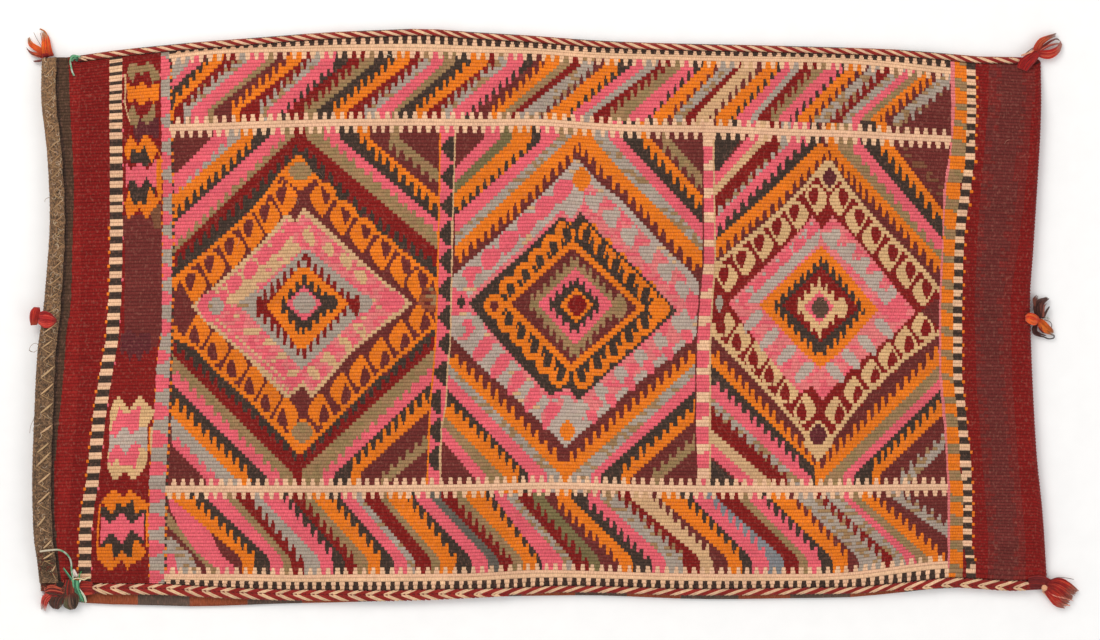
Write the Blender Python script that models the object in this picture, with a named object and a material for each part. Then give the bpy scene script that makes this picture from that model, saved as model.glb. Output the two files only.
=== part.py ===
# Hay sack: a flat-woven wool storage sack, lying empty and flat.
#
# One long strip of cloth is folded in half at the sack's bottom (+X): its front
# half carries the fold, and its back half starts just below it. The strip's two
# ends are turned outward as hems at the mouth (-X). The long sides are closed
# by a plaited braid sewn along each edge of the front panel, on top of the
# slightly wider back panel. Knots, tassels and tie threads hang at the corners.
#
# Frame: metres, +Z up, the back panel lies on z = 0, +X from the mouth to the
# bottom fold, +Y to the upper long side. The origin is below the middle of
# the whole sack, tassels included.

import math

import bmesh
import bpy
from mathutils import Vector

# ---------------------------------------------------------------- dimensions
MM = 0.001
CLOTH_T = 3.0 * MM          # thickness of the woven cloth
AIR = 9.0 * MM              # slack between the two panels, middle of the sack
AIR_MOUTH = 7.0 * MM        # slack between the two panels at the mouth
SEAM_AIR = 0.6 * MM         # what is left between the panels at a side seam
SEAM_SLOPE = 45.0 * MM      # width over which the front panel comes down to it
GAP = 0.3 * MM              # clearance between two pieces that touch
HEM = 21.0 * MM             # width of the hem turned back at the mouth
HEM_RAMP = 18.0 * MM        # length over which the back panel climbs its hem
BRAID_W = 11.0 * MM         # width of the lower side braid, lying flat
BRAID_W_UP = 8.0 * MM       # width of the upper side braid, rolled onto its side
BRAID_H = 6.0 * MM          # height of a side braid
STITCH_D = 1.6 * MM         # hem thread
STITCH_PITCH = 17.0 * MM    # distance between two zigzag stitches
TIE_D = 2.0 * MM            # green tie threads

# Outline of the lying sack, in millimetres from the frame's origin. The back
# panel stands out below the lower braid near the mouth, so the front panel's
# lower edge has its own table.
UPPER_SIDE = [(-572, 284), (-540, 287), (-485, 295), (-430, 301), (-386, 305),
              (-320, 310), (-254, 315), (-189, 318), (-139, 319.4), (-90, 316),
              (-24, 312), (42, 307), (108, 304), (239, 301), (371, 297),
              (425, 293), (469, 289), (502, 288.5), (546, 287)]
LOWER_SIDE = [(-572, -294), (-545, -303), (-515, -311), (-430, -314),
              (-386, -315), (-298, -312), (-211, -310), (-90, -305),
              (9, -303), (53, -303), (162, -307), (272, -306), (327, -305),
              (371, -301), (436, -294.5), (470, -296), (502, -298), (546, -296)]
LOWER_FRONT = [(-572, -289), (-512, -289), (-485, -289.5), (-430, -290), (-386, -292.3),
               (-342, -294.5), (-298, -296.1), (-243, -296.7), (-189, -297.2),
               (-134, -296), (-57, -294.9), (9, -292), (75, -293), (140, -295.2),
               (206, -295.2), (272, -294.1), (338, -293), (371, -289.8),
               (404, -286.5), (436, -283.2), (470, -284.4), (502, -286.4),
               (546, -285)]
MOUTH_RIM = [(-294, -562), (-264, -565), (-236, -568.5), (-176, -570),
             (-110, -568), (-33, -564), (10, -558), (54, -554), (98, -551),
             (131, -551), (186, -554), (241, -560), (288, -560)]
BOTTOM_FOLD = [(-300, 545), (-258, 542), (-209, 538.5), (-143, 532),
               (-33, 526.4), (27, 525.3), (76, 528.6), (197, 536),
               (241, 537.4), (288, 537)]


def smooth(table, at):
    """Read a table of (position, value) in mm as a smooth curve, in metres."""
    at = at / MM
    n = len(table)
    if at <= table[0][0]:
        return table[0][1] * MM
    if at >= table[-1][0]:
        return table[-1][1] * MM
    k = max(i for i in range(n - 1) if table[i][0] <= at)

    def slope(i):
        a, b = max(i - 1, 0), min(i + 1, n - 1)
        return (table[b][1] - table[a][1]) / (table[b][0] - table[a][0])

    (x0, y0), (x1, y1) = table[k], table[k + 1]
    h = x1 - x0
    t = (at - x0) / h
    m0, m1 = slope(k) * h, slope(k + 1) * h
    return (y0 * (2 * t ** 3 - 3 * t ** 2 + 1) + m0 * (t ** 3 - 2 * t ** 2 + t)
            + y1 * (3 * t ** 2 - 2 * t ** 3) + m1 * (t ** 3 - t ** 2)) * MM


def step(a, b, x):
    t = min(max((x - a) / (b - a), 0.0), 1.0)
    return t


def side_y(x, upper, front):
    """Edge of the front or the back panel at x."""
    if upper:
        return smooth(UPPER_SIDE, x) - (BRAID_W_UP if front else 0.0)
    return smooth(LOWER_FRONT if front else LOWER_SIDE, x)


def back_mid(x, y):
    """Middle of the back panel's thickness."""
    rim = smooth(MOUTH_RIM, y)
    climb = 1.0 - step(rim + HEM + 2 * MM, rim + HEM + 2 * MM + HEM_RAMP, x)
    return CLOTH_T / 2 + (CLOTH_T + GAP) * climb


def slack(x, y):
    """Air between the panels."""
    rim = smooth(MOUTH_RIM, y)
    near_mouth = 1.0 - step(rim + 25 * MM, rim + 70 * MM, x)
    full = AIR + (AIR_MOUTH - AIR) * near_mouth
    inset = min(side_y(x, True, True) - y, y - side_y(x, False, True))
    return SEAM_AIR + (full - SEAM_AIR) * step(0.0, SEAM_SLOPE, inset)


def front_mid(x, y):
    """Middle of the front panel's thickness."""
    return back_mid(x, y) + CLOTH_T + slack(x, y)


def front_top(x, y):
    """Upper surface of the front panel, away from the hem."""
    return front_mid(x, y) + CLOTH_T / 2


def hem_top(x, y):
    """Upper surface of the hem that lies on the front panel."""
    return front_mid(x, y) + CLOTH_T + GAP + CLOTH_T / 2


# ------------------------------------------------------------------ helpers
def material(name, colour, rough):
    mat = bpy.data.materials.new(name)
    mat.use_nodes = True
    bsdf = mat.node_tree.nodes["Principled BSDF"]
    bsdf.inputs["Base Color"].default_value = (*colour, 1.0)
    bsdf.inputs["Roughness"].default_value = rough
    bsdf.inputs["Metallic"].default_value = 0.0
    mat.diffuse_color = (*colour, 1.0)
    return mat


def add_mesh(name, verts, faces, mat, parent=None):
    mesh = bpy.data.meshes.new(name)
    mesh.from_pydata([tuple(v) for v in verts], [], faces)
    bm = bmesh.new()
    bm.from_mesh(mesh)
    bmesh.ops.recalc_face_normals(bm, faces=bm.faces)
    if bm.calc_volume(signed=True) < 0.0:
        bmesh.ops.reverse_faces(bm, faces=bm.faces)
    bm.to_mesh(mesh)
    bm.free()
    obj = bpy.data.objects.new(name, mesh)
    bpy.context.collection.objects.link(obj)
    mesh.materials.append(mat)
    obj.parent = parent
    return obj


def swept(name, centres, sections, mat, parent=None):
    """Closed solid through a row of cross-sections of equal point count."""
    verts, faces = [], []
    k = len(sections[0])
    for c, sec in zip(centres, sections):
        verts += [Vector(c) + Vector(p) for p in sec]
    for i in range(len(sections) - 1):
        for j in range(k):
            a, b = i * k + j, i * k + (j + 1) % k
            faces.append((a, b, b + k, a + k))
    faces.append(tuple(range(k - 1, -1, -1)))
    last = (len(sections) - 1) * k
    faces.append(tuple(range(last, last + k)))
    return add_mesh(name, verts, faces, mat, parent)


def curve_points(points, count):
    """Evenly spaced points on a smooth curve through the given points."""
    pts = [Vector(p) for p in points]
    ext = [2 * pts[0] - pts[1]] + pts + [2 * pts[-1] - pts[-2]]
    fine = []
    for i in range(1, len(ext) - 2):
        p0, p1, p2, p3 = ext[i - 1:i + 3]
        for s in range(24):
            t = s / 24
            fine.append(0.5 * ((2 * p1) + (p2 - p0) * t
                               + (2 * p0 - 5 * p1 + 4 * p2 - p3) * t ** 2
                               + (3 * p1 - p0 - 3 * p2 + p3) * t ** 3))
    fine.append(pts[-1])
    run = [0.0]
    for a, b in zip(fine, fine[1:]):
        run.append(run[-1] + (b - a).length)
    out, j = [], 0
    for i in range(count):
        want = run[-1] * i / (count - 1)
        while j < len(run) - 2 and run[j + 1] < want:
            j += 1
        t = (want - run[j]) / max(run[j + 1] - run[j], 1e-9)
        out.append(fine[j].lerp(fine[j + 1], min(t, 1.0)))
    return out


def lock(name, points, radii, mat, count=9, sides=8, flat=1.0):
    """A lock of yarn: a tapering round solid along a smooth curve."""
    centres = curve_points(points, count)
    sections = []
    for i, c in enumerate(centres):
        a, b = centres[max(i - 1, 0)], centres[min(i + 1, count - 1)]
        along = (b - a).normalized()
        across = along.cross(Vector((0, 0, 1))).normalized()
        up = across.cross(along).normalized()
        t = i / (count - 1) * (len(radii) - 1)
        k = min(int(t), len(radii) - 2)
        r = (radii[k] + (radii[k + 1] - radii[k]) * (t - k)) * MM
        sections.append([across * math.cos(2 * math.pi * j / sides) * r
                         + up * math.sin(2 * math.pi * j / sides) * r * flat
                         for j in range(sides)])
    return swept(name, centres, sections, mat)


def knot(name, centre, size, mat):
    """A flattened round knot."""
    mesh = bpy.data.meshes.new(name)
    bm = bmesh.new()
    bmesh.ops.create_uvsphere(bm, u_segments=12, v_segments=8, radius=1.0)
    for v in bm.verts:
        v.co = Vector((centre[0] + v.co.x * size[0], centre[1] + v.co.y * size[1],
                       centre[2] + v.co.z * size[2]))
    bm.to_mesh(mesh)
    bm.free()
    obj = bpy.data.objects.new(name, mesh)
    bpy.context.collection.objects.link(obj)
    mesh.materials.append(mat)
    return obj


def fuse(base, others):
    """Join several locks into one knotted tassel."""
    for i, other in enumerate(others):
        other.hide_render = True
        other.display_type = 'WIRE'
        mod = base.modifiers.new("join_%d" % i, 'BOOLEAN')
        mod.operation = 'UNION'
        mod.solver = 'EXACT'
        mod.object = other
    return base


def thread(name, points, diameter, mat, count):
    """A thread: a round tube along a smooth curve."""
    cu = bpy.data.curves.new(name, 'CURVE')
    cu.dimensions = '3D'
    cu.bevel_depth = diameter / 2
    cu.bevel_resolution = 2
    cu.use_fill_caps = True
    sp = cu.splines.new('POLY')
    pts = curve_points(points, count)
    sp.points.add(len(pts) - 1)
    for p, q in zip(sp.points, pts):
        p.co = (*q, 1.0)
    obj = bpy.data.objects.new(name, cu)
    bpy.context.collection.objects.link(obj)
    cu.materials.append(mat)
    return obj


def p(x_mm, y_mm, z_mm):
    return Vector((x_mm * MM, y_mm * MM, z_mm * MM))


# Cross rows of the panels, as shares of the way from the rim to the bottom fold.
PANEL_MARKS = ([0.0, 0.0095, 0.019, 0.028, 0.038, 0.060]
               + [0.060 + 0.93 * i / 18 for i in range(1, 19)] + [1.0])


def front_edge(upper):
    """Edge of the front panel as the straight runs between its cross rows."""
    turn_in = (CLOTH_T + GAP) / 2 + CLOTH_T / 2
    fold_in = (CLOTH_T + AIR) / 2 + CLOTH_T / 2
    run = []
    for f in PANEL_MARKS:
        y = side_y(-0.56 + 1.1 * f, upper, True)
        for _ in range(2):
            rim = smooth(MOUTH_RIM, y) + turn_in
            x = rim + (smooth(BOTTOM_FOLD, y) - fold_in - rim) * f
            y = side_y(x, upper, True)
        run.append((x, y))
    return run


def read_run(run, x):
    for (x0, y0), (x1, y1) in zip(run, run[1:]):
        if x <= x1:
            return y0 + (y1 - y0) * (x - x0) / (x1 - x0)
    return run[-1][1]


# ---------------------------------------------------------------- the cloth
def build_cloth(mat, parent):
    """The folded strip, as a ribbon of constant thickness."""
    insets = [0.0, 0.5, 1.0]                       # across each seam slope
    inner_rows = 11                                # across the flat middle

    def rows(x, front):
        """Positions across the strip at x, lower edge to upper edge."""
        lo_f, hi_f = side_y(x, False, True), side_y(x, True, True)
        ys = [lo_f + SEAM_SLOPE * k for k in insets]
        top = [hi_f - SEAM_SLOPE * k for k in reversed(insets)]
        a, b = ys[-1], top[0]
        ys += [a + (b - a) * i / inner_rows for i in range(1, inner_rows)] + top
        if front < 1.0:
            ys[0] += (side_y(x, False, False) - ys[0]) * (1.0 - front)
            ys[-1] += (side_y(x, True, False) - ys[-1]) * (1.0 - front)
        return ys

    half = CLOTH_T / 2
    stations = []        # each: function row index -> (x, y, z, nx, nz)

    def panel_x(y, f, start, end_inset):
        rim = smooth(MOUTH_RIM, y) + start
        fold = smooth(BOTTOM_FOLD, y) - end_inset
        return rim + (fold - rim) * f

    turn = (CLOTH_T + GAP) / 2                     # radius of a hem's turn
    rim_in = turn + half                           # rim to the turn's centre

    def y_at(x_guess, j, front):
        return rows(x_guess, front)[j]

    def add(fn):
        stations.append(fn)

    # hem on the front panel, from its free edge to the rim
    for f in (1.0, 0.5, 0.0):
        def fn(j, f=f):
            y = y_at(-0.55, j, 1.0)
            x = smooth(MOUTH_RIM, y) + rim_in + (HEM - rim_in) * f
            return x, y, front_mid(x, y) + CLOTH_T + GAP, 0.0, 1.0
        add(fn)
    # turn at the rim
    for k in range(1, 6):
        def fn(j, k=k):
            y = y_at(-0.55, j, 1.0)
            x = smooth(MOUTH_RIM, y) + rim_in
            ang = math.pi / 2 + math.pi * k / 6
            zc = front_mid(x, y) + (CLOTH_T + GAP) / 2
            return (x + turn * math.cos(ang), y, zc + turn * math.sin(ang),
                    math.cos(ang), math.sin(ang))
        add(fn)
    # front panel, rim to bottom fold
    bend = (CLOTH_T + AIR) / 2
    marks = PANEL_MARKS

    def front_station(f):
        def fn(j):
            y = y_at(-0.56 + 1.1 * f, j, 1.0)
            for _ in range(2):
                x = panel_x(y, f, rim_in, bend + half)
                y = y_at(x, j, 1.0)
            return x, y, front_mid(x, y), 0.0, -1.0
        return fn
    for f in marks:
        add(front_station(f))
    # bottom fold
    for k in range(1, 8):
        def fn(j, k=k):
            front = 1.0 - k / 8
            y = y_at(0.532, j, front)
            x = smooth(BOTTOM_FOLD, y) - bend - half
            zf, zb = front_mid(x, y), back_mid(x, y)
            r = (zf - zb) / 2
            x_c = smooth(BOTTOM_FOLD, y) - half - bend
            ang = math.pi / 2 - math.pi * k / 8
            return (x_c + bend * math.cos(ang), y, (zf + zb) / 2 + r * math.sin(ang),
                    -math.cos(ang), -math.sin(ang))
        add(fn)
    # back panel, bottom fold to rim
    def back_station(f):
        def fn(j):
            y = y_at(-0.56 + 1.1 * f, j, 0.0)
            for _ in range(2):
                x = panel_x(y, f, rim_in, bend + half)
                y = y_at(x, j, 0.0)
            return x, y, back_mid(x, y), 0.0, 1.0
        return fn
    below_fold = len(stations)
    for f in reversed(marks):
        add(back_station(f))
    for k in range(1, 6):
        def fn(j, k=k):
            y = y_at(-0.55, j, 0.0)
            x = smooth(MOUTH_RIM, y) + rim_in
            ang = math.pi / 2 + math.pi * k / 6
            zc = back_mid(x, y) - (CLOTH_T + GAP) / 2
            return (x + turn * math.cos(ang), y, zc + turn * math.sin(ang),
                    math.cos(ang), math.sin(ang))
        add(fn)
    for f in (0.0, 0.5, 1.0):
        def fn(j, f=f):
            y = y_at(-0.55, j, 0.0)
            x = smooth(MOUTH_RIM, y) + rim_in + (HEM - rim_in) * f
            return x, y, CLOTH_T / 2, 0.0, -1.0
        add(fn)

    n_rows = len(rows(0.0, 1.0))

    def ribbon(name, run):
        verts, faces = [], []
        for fn in run:
            for j in range(n_rows):
                x, y, z, nx, nz = fn(j)
                verts.append((x + nx * half, y, z + nz * half))
                verts.append((x - nx * half, y, z - nz * half))

        def vid(i, j, side):
            return (i * n_rows + j) * 2 + side
        n = len(run)
        for i in range(n - 1):
            for j in range(n_rows - 1):
                faces.append((vid(i, j, 0), vid(i, j + 1, 0), vid(i + 1, j + 1, 0), vid(i + 1, j, 0)))
                faces.append((vid(i, j, 1), vid(i + 1, j, 1), vid(i + 1, j + 1, 1), vid(i, j + 1, 1)))
            faces.append((vid(i, 0, 0), vid(i + 1, 0, 0), vid(i + 1, 0, 1), vid(i, 0, 1)))
            faces.append((vid(i, n_rows - 1, 0), vid(i, n_rows - 1, 1),
                          vid(i + 1, n_rows - 1, 1), vid(i + 1, n_rows - 1, 0)))
        for j in range(n_rows - 1):
            faces.append((vid(0, j, 0), vid(0, j, 1), vid(0, j + 1, 1), vid(0, j + 1, 0)))
            faces.append((vid(n - 1, j, 0), vid(n - 1, j + 1, 0), vid(n - 1, j + 1, 1), vid(n - 1, j, 1)))
        return add_mesh(name, verts, faces, mat, parent)

    # the front half with the bottom fold, and the back half from below the fold
    return [ribbon("front_panel", stations[:below_fold + 1]),
            ribbon("back_panel", stations[below_fold:])]


# --------------------------------------------------------------- the braids
def build_braid(name, upper, x0, x1, mat, parent):
    """Side braid: lies on the back panel's margin, beside the front panel."""
    full = BRAID_W_UP if upper else BRAID_W
    w = full - 2 * GAP
    out = 1.0 if upper else -1.0
    run = front_edge(upper)
    cuts = [x0] + [x for x, _ in run if x0 + 2 * MM < x < x1 - 2 * MM] + [x1]
    cuts = sorted(cuts + [(a + b) / 2 for a, b in zip(cuts, cuts[1:])])
    centres, sections = [], []
    for x in cuts:
        y = read_run(run, x) + out * full / 2
        z = back_mid(x, y) + CLOTH_T / 2 + GAP
        centres.append((x, y, z))
        ring = [(-0.5, 0.12), (-0.34, 0.0), (0.34, 0.0), (0.5, 0.12),
                (0.5, 0.62), (0.30, 1.0), (-0.30, 1.0), (-0.5, 0.62)]
        sections.append([(0.0, w * a, BRAID_H * b) for a, b in ring])
    return swept(name, centres, sections, mat, parent)


# ------------------------------------------------------------------- build
def main():
    for obj in list(bpy.data.objects):
        bpy.data.objects.remove(obj, do_unlink=True)

    wool = material("woven_wool", (0.30, 0.05, 0.04), 0.95)
    plait = material("braid_wool", (0.45, 0.08, 0.05), 0.95)
    tan = material("hem_thread_tan", (0.42, 0.27, 0.15), 0.95)
    orange = material("tassel_orange", (0.75, 0.20, 0.05), 0.95)
    red = material("tassel_red", (0.50, 0.05, 0.04), 0.95)
    dark = material("tassel_dark", (0.10, 0.06, 0.05), 0.95)
    green = material("tie_green", (0.10, 0.35, 0.10), 0.90)

    root = bpy.data.objects.new("hay_sack", None)
    bpy.context.collection.objects.link(root)

    pieces = build_cloth(wool, root)
    pieces.append(build_braid("upper_seam_braid", True, -0.534, 0.5195, plait, root))
    pieces.append(build_braid("lower_seam_braid", False, -0.512, 0.5275, plait, root))

    # zigzag stitching over the front hem
    pts, y, k = [], -0.281, 0
    while y < 0.266:
        rim = smooth(MOUTH_RIM, y)
        x = rim + (5.0 * MM if k % 2 else 17.5 * MM)
        pts.append((x, y, hem_top(x, y) + STITCH_D / 2 + 0.5 * MM))
        y += STITCH_PITCH / 2
        k += 1
    cu = thread("front_hem_stitching", pts, STITCH_D, tan, 2)
    sp = cu.data.splines[0]
    sp.points.add(len(pts) - 2)
    for q, c in zip(sp.points, pts):
        q.co = (*c, 1.0)
    pieces.append(cu)

    # line of stitching beside the back hem's free edge
    pts = []
    for i in range(34):
        y = -0.284 + 0.552 * i / 33
        x = smooth(MOUTH_RIM, y) + HEM + 1.6 * MM
        pts.append((x, y, 1.45 * MM))
    pieces.append(thread("back_hem_stitching", pts, STITCH_D, tan, 34))

    # yarn ends at the mouth's upper corner
    a = lock("mouth_corner_tassel", [p(-548, 291.5, 6.5), p(-554, 292, 6), p(-558, 302, 4.5),
             p(-558.5, 318, 3.0)], [3.2, 3.6, 2.8, 1.3], orange)
    b = lock("mouth_corner_lock_b", [p(-551, 291.8, 6.3), p(-561, 294, 5), p(-569, 302, 3.6),
             p(-575.5, 309, 2.8)], [3.0, 2.8, 2.2, 1.2], orange)
    pieces.append(fuse(a, [b]))

    # red knot and curled lock at the bottom's upper corner
    z = front_top(0.521, 0.274) / MM
    a = knot("bottom_upper_tassel", p(521, 281, z + 6.2), (11.5 * MM, 7.0 * MM, 3.6 * MM), red)
    b = lock("bottom_upper_lock", [p(526, 283, z + 6.2), p(537, 290.5, z + 5.0), p(543, 301, 7.0),
             p(550, 309, 4.5), p(552.5, 315, 3.0)], [4.2, 4.0, 3.6, 2.8, 1.4], red, 12)
    pieces.append(fuse(a, [b]))

    # orange knot with a dark tuft and an orange lock, middle of the bottom
    a = knot("bottom_middle_tassel", p(532.6, 1.6, 8.0), (5.4 * MM, 5.6 * MM, 5.0 * MM), orange)
    b = lock("bottom_middle_lock", [p(533, 1, 7.5), p(539, -3, 6.0), p(546, -9, 4.0),
             p(551.5, -14.5, 2.8)], [4.2, 3.4, 2.6, 1.3], orange)
    c = lock("bottom_middle_tuft", [p(533, 3, 7.5), p(535, 11, 6.5), p(538.5, 19, 5.0),
             p(543, 24.5, 3.6)], [4.0, 3.8, 3.0, 1.3], dark)
    pieces.append(fuse(a, [b, c]))

    # red lock at the bottom's lower corner
    a = knot("bottom_lower_tassel", p(551.5, -291, 6.6), (5.2 * MM, 5.4 * MM, 4.6 * MM), red)
    b = lock("bottom_lower_lock", [p(551, -292, 6.2), p(558, -299, 5.0), p(568, -305, 4.2),
             p(575.8, -301, 3.0)], [4.4, 5.2, 4.2, 1.3], red, 10)
    pieces.append(fuse(a, [b]))

    # red tuft knotted over the hem, middle of the mouth
    rim = smooth(MOUTH_RIM, 0.0) / MM
    zt = hem_top(rim * MM + 0.010, 0.0) / MM
    a = lock("mouth_middle_tuft", [p(rim + 15, -0.5, zt + 4.2), p(rim + 8, 0.0, zt + 4.8),
             p(rim - 1, 1.0, zt + 3.2), p(rim - 5.4, 2.6, zt - 1.5),
             p(rim - 6.4, 4.0, zt - 4.0)], [1.6, 1.9, 2.6, 3.2, 2.6], red, 14)
    b = lock("mouth_middle_lock", [p(rim - 5.6, 2.5, zt - 2.6), p(rim - 8.2, 8, zt - 3.4),
             p(rim - 7.6, 12.5, zt - 4.4)], [3.0, 2.7, 1.4], red)
    pieces.append(fuse(a, [b]))

    # frayed end of the lower braid, mouth's lower corner
    def margin(x, y):
        return (back_mid(x * MM, y * MM) + CLOTH_T / 2) / MM
    zm = margin(-540, -300)
    a = lock("braid_frayed_end", [p(-514.5, -296, margin(-514.5, -296) + 4.0),
             p(-524, -296.5, margin(-524, -296) + 4.2), p(-536, -299.5, zm + 5.2),
             p(-548, -303.5, zm + 4.4)], [3.0, 3.5, 4.2, 2.6], red, 10)
    b = lock("braid_frayed_dark", [p(-532, -301.5, zm + 5.2), p(-540, -310, 9.4),
             p(-550, -315, 4.6), p(-557, -318.0, 3.2)], [3.2, 3.4, 2.6, 1.4], dark)
    pieces.append(fuse(a, [b]))

    # tie threads: one at each end of the mouth
    def on_front(x, y, lift=0.5):
        return (x * MM, y * MM, front_top(x * MM, y * MM) + TIE_D / 2 + lift * MM)

    def on_hem(x, y, lift=0.5):
        return (x * MM, y * MM, hem_top(x * MM, y * MM) + TIE_D / 2 + lift * MM)
    def on_braid(x, y, lift=0.5):
        return (x * MM, y * MM, back_mid(x * MM, y * MM) + CLOTH_T / 2 + GAP
                + BRAID_H + TIE_D / 2 + lift * MM)
    pieces.append(thread("upper_tie_thread",
                         [on_braid(-517.5, 288.2), on_braid(-522, 289.2),
                          on_braid(-526.8, 287.6), on_braid(-528.4, 282.9),
                          on_front(-527.4, 277.3, 1.5), on_front(-526.4, 272.2, 0.7),
                          on_front(-524.2, 267.4, 0.6)], TIE_D, green, 22))
    pieces.append(thread("lower_tie_thread",
                         [on_hem(-561, -254, 2.4), on_hem(-549, -252.5, 2.5),
                          (-0.539, -0.2525, hem_top(-0.545, -0.2525) + 2.6 * MM),
                          on_front(-531, -258, 3.0), on_front(-527.5, -266, 0.7),
                          on_front(-527, -276, 0.7), on_front(-525, -286, 0.9)],
                         TIE_D, green, 30))

    for obj in pieces:
        if obj.type == 'MESH':
            obj.data.shade_smooth()
            obj.data.set_sharp_from_angle(angle=math.radians(40))
        obj.parent = root


main()
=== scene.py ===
# The looks of the hay sack: a flat-woven wool sack with a kilim front, lying flat.
import math
import random

import bpy
import bmesh
import numpy as np
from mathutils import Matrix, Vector


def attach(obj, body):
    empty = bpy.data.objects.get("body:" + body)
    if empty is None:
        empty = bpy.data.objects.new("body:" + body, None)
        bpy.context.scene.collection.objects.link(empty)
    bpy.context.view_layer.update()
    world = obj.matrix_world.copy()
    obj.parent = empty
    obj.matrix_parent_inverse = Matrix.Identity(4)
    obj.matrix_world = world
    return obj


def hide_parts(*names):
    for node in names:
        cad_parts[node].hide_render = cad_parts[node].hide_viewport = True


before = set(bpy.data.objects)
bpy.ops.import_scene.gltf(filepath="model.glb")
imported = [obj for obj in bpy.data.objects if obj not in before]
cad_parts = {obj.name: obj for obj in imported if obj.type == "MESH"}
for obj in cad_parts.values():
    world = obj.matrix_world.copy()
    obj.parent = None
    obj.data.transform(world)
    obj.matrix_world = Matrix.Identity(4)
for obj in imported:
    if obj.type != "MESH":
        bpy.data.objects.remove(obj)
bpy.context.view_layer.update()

random.seed(11)
RNG = np.random.default_rng(11)

# ------------------------------------------------------------------ measures
MM = 0.001
CLOTH_T = 3.0 * MM
AIR = 9.0 * MM
AIR_MOUTH = 7.0 * MM
SEAM_AIR = 0.6 * MM
SEAM_SLOPE = 45.0 * MM
GAP = 0.3 * MM
HEM = 21.0 * MM
HEM_RAMP = 18.0 * MM
BRAID_W = 11.0 * MM
BRAID_W_UP = 8.0 * MM
BRAID_H = 6.0 * MM
TIE_D = 2.0 * MM

UPPER_SIDE = [(-572, 284), (-540, 287), (-485, 295), (-430, 301), (-386, 305),
              (-320, 310), (-254, 315), (-189, 318), (-139, 319.4), (-90, 316),
              (-24, 312), (42, 307), (108, 304), (239, 301), (371, 297),
              (425, 293), (469, 289), (502, 288.5), (546, 287)]
LOWER_SIDE = [(-572, -294), (-545, -303), (-515, -311), (-430, -314),
              (-386, -315), (-298, -312), (-211, -310), (-90, -305),
              (9, -303), (53, -303), (162, -307), (272, -306), (327, -305),
              (371, -301), (436, -294.5), (470, -296), (502, -298), (546, -296)]
LOWER_FRONT = [(-572, -289), (-512, -289), (-485, -289.5), (-430, -290), (-386, -292.3),
               (-342, -294.5), (-298, -296.1), (-243, -296.7), (-189, -297.2),
               (-134, -296), (-57, -294.9), (9, -292), (75, -293), (140, -295.2),
               (206, -295.2), (272, -294.1), (338, -293), (371, -289.8),
               (404, -286.5), (436, -283.2), (470, -284.4), (502, -286.4),
               (546, -285)]
MOUTH_RIM = [(-294, -562), (-264, -565), (-236, -568.5), (-176, -570),
             (-110, -568), (-33, -564), (10, -558), (54, -554), (98, -551),
             (131, -551), (186, -554), (241, -560), (288, -560)]
BOTTOM_FOLD = [(-300, 545), (-258, 542), (-209, 538.5), (-143, 532),
               (-33, 526.4), (27, 525.3), (76, 528.6), (197, 536),
               (241, 537.4), (288, 537)]


def hermite(table):
    """The smooth curve through a table of mm, as a fast reader of arrays in metres."""
    xs = np.array([p[0] for p in table], float)
    ys = np.array([p[1] for p in table], float)
    n = len(xs)
    m = np.array([(ys[min(i + 1, n - 1)] - ys[max(i - 1, 0)])
                  / (xs[min(i + 1, n - 1)] - xs[max(i - 1, 0)]) for i in range(n)])

    def read(at):
        at = np.clip(np.asarray(at, float) / MM, xs[0], xs[-1])
        k = np.clip(np.searchsorted(xs, at, side="right") - 1, 0, n - 2)
        h = xs[k + 1] - xs[k]
        t = (at - xs[k]) / h
        return (ys[k] * (2 * t ** 3 - 3 * t ** 2 + 1) + m[k] * h * (t ** 3 - 2 * t ** 2 + t)
                + ys[k + 1] * (3 * t ** 2 - 2 * t ** 3) + m[k + 1] * h * (t ** 3 - t ** 2)) * MM
    return read


upper_side, lower_side = hermite(UPPER_SIDE), hermite(LOWER_SIDE)
lower_front, mouth_rim = hermite(LOWER_FRONT), hermite(MOUTH_RIM)
bottom_fold = hermite(BOTTOM_FOLD)


def ramp(a, b, x):
    return np.clip((np.asarray(x, float) - a) / (b - a), 0.0, 1.0)


def ease(a, b, x):
    t = ramp(a, b, x)
    return t * t * (3 - 2 * t)


def edge_y(x, upper, front):
    if upper:
        # no braid beside the mouth: there the front reaches out to the back's edge
        room = BRAID_W_UP * ease(-0.534, -0.517, x) - 1.2 * MM * (1 - ease(-0.545, -0.530, x))
        return upper_side(x) - (room if front else 0.0)
    return lower_front(x) if front else lower_side(x)


def hem_width(y):
    """The hem is narrower at its upper end."""
    return (16.4 + 4.6 * (1 - ease(-0.09, 0.16, y))) * MM


def back_mid(x, y):
    rim = mouth_rim(y)
    climb = 1.0 - ramp(rim + HEM + 2 * MM, rim + HEM + 2 * MM + HEM_RAMP, x)
    return CLOTH_T / 2 + (CLOTH_T + GAP) * climb


def slack(x, y):
    rim = mouth_rim(y)
    near = 1.0 - ramp(rim + 25 * MM, rim + 70 * MM, x)
    full = AIR + (AIR_MOUTH - AIR) * near
    inset = np.minimum(edge_y(x, True, True) - y, y - edge_y(x, False, True))
    return SEAM_AIR + (full - SEAM_AIR) * ramp(0.0, SEAM_SLOPE, inset)


def front_mid(x, y):
    return back_mid(x, y) + CLOTH_T + slack(x, y)


def front_top(x, y):
    return front_mid(x, y) + CLOTH_T / 2


def hem_top(x, y):
    return front_mid(x, y) + CLOTH_T + GAP + CLOTH_T / 2


# One photo pixel is S metres; the image is 1100 x 640.
S = 1.0967 * MM


def MX(px):
    return (np.asarray(px, float) - 552.0) * S


def MY(py):
    return (319.5 - np.asarray(py, float)) * S


def PX(x):
    return np.asarray(x, float) / S + 552.0


def PY(y):
    return 319.5 - np.asarray(y, float) / S


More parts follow.
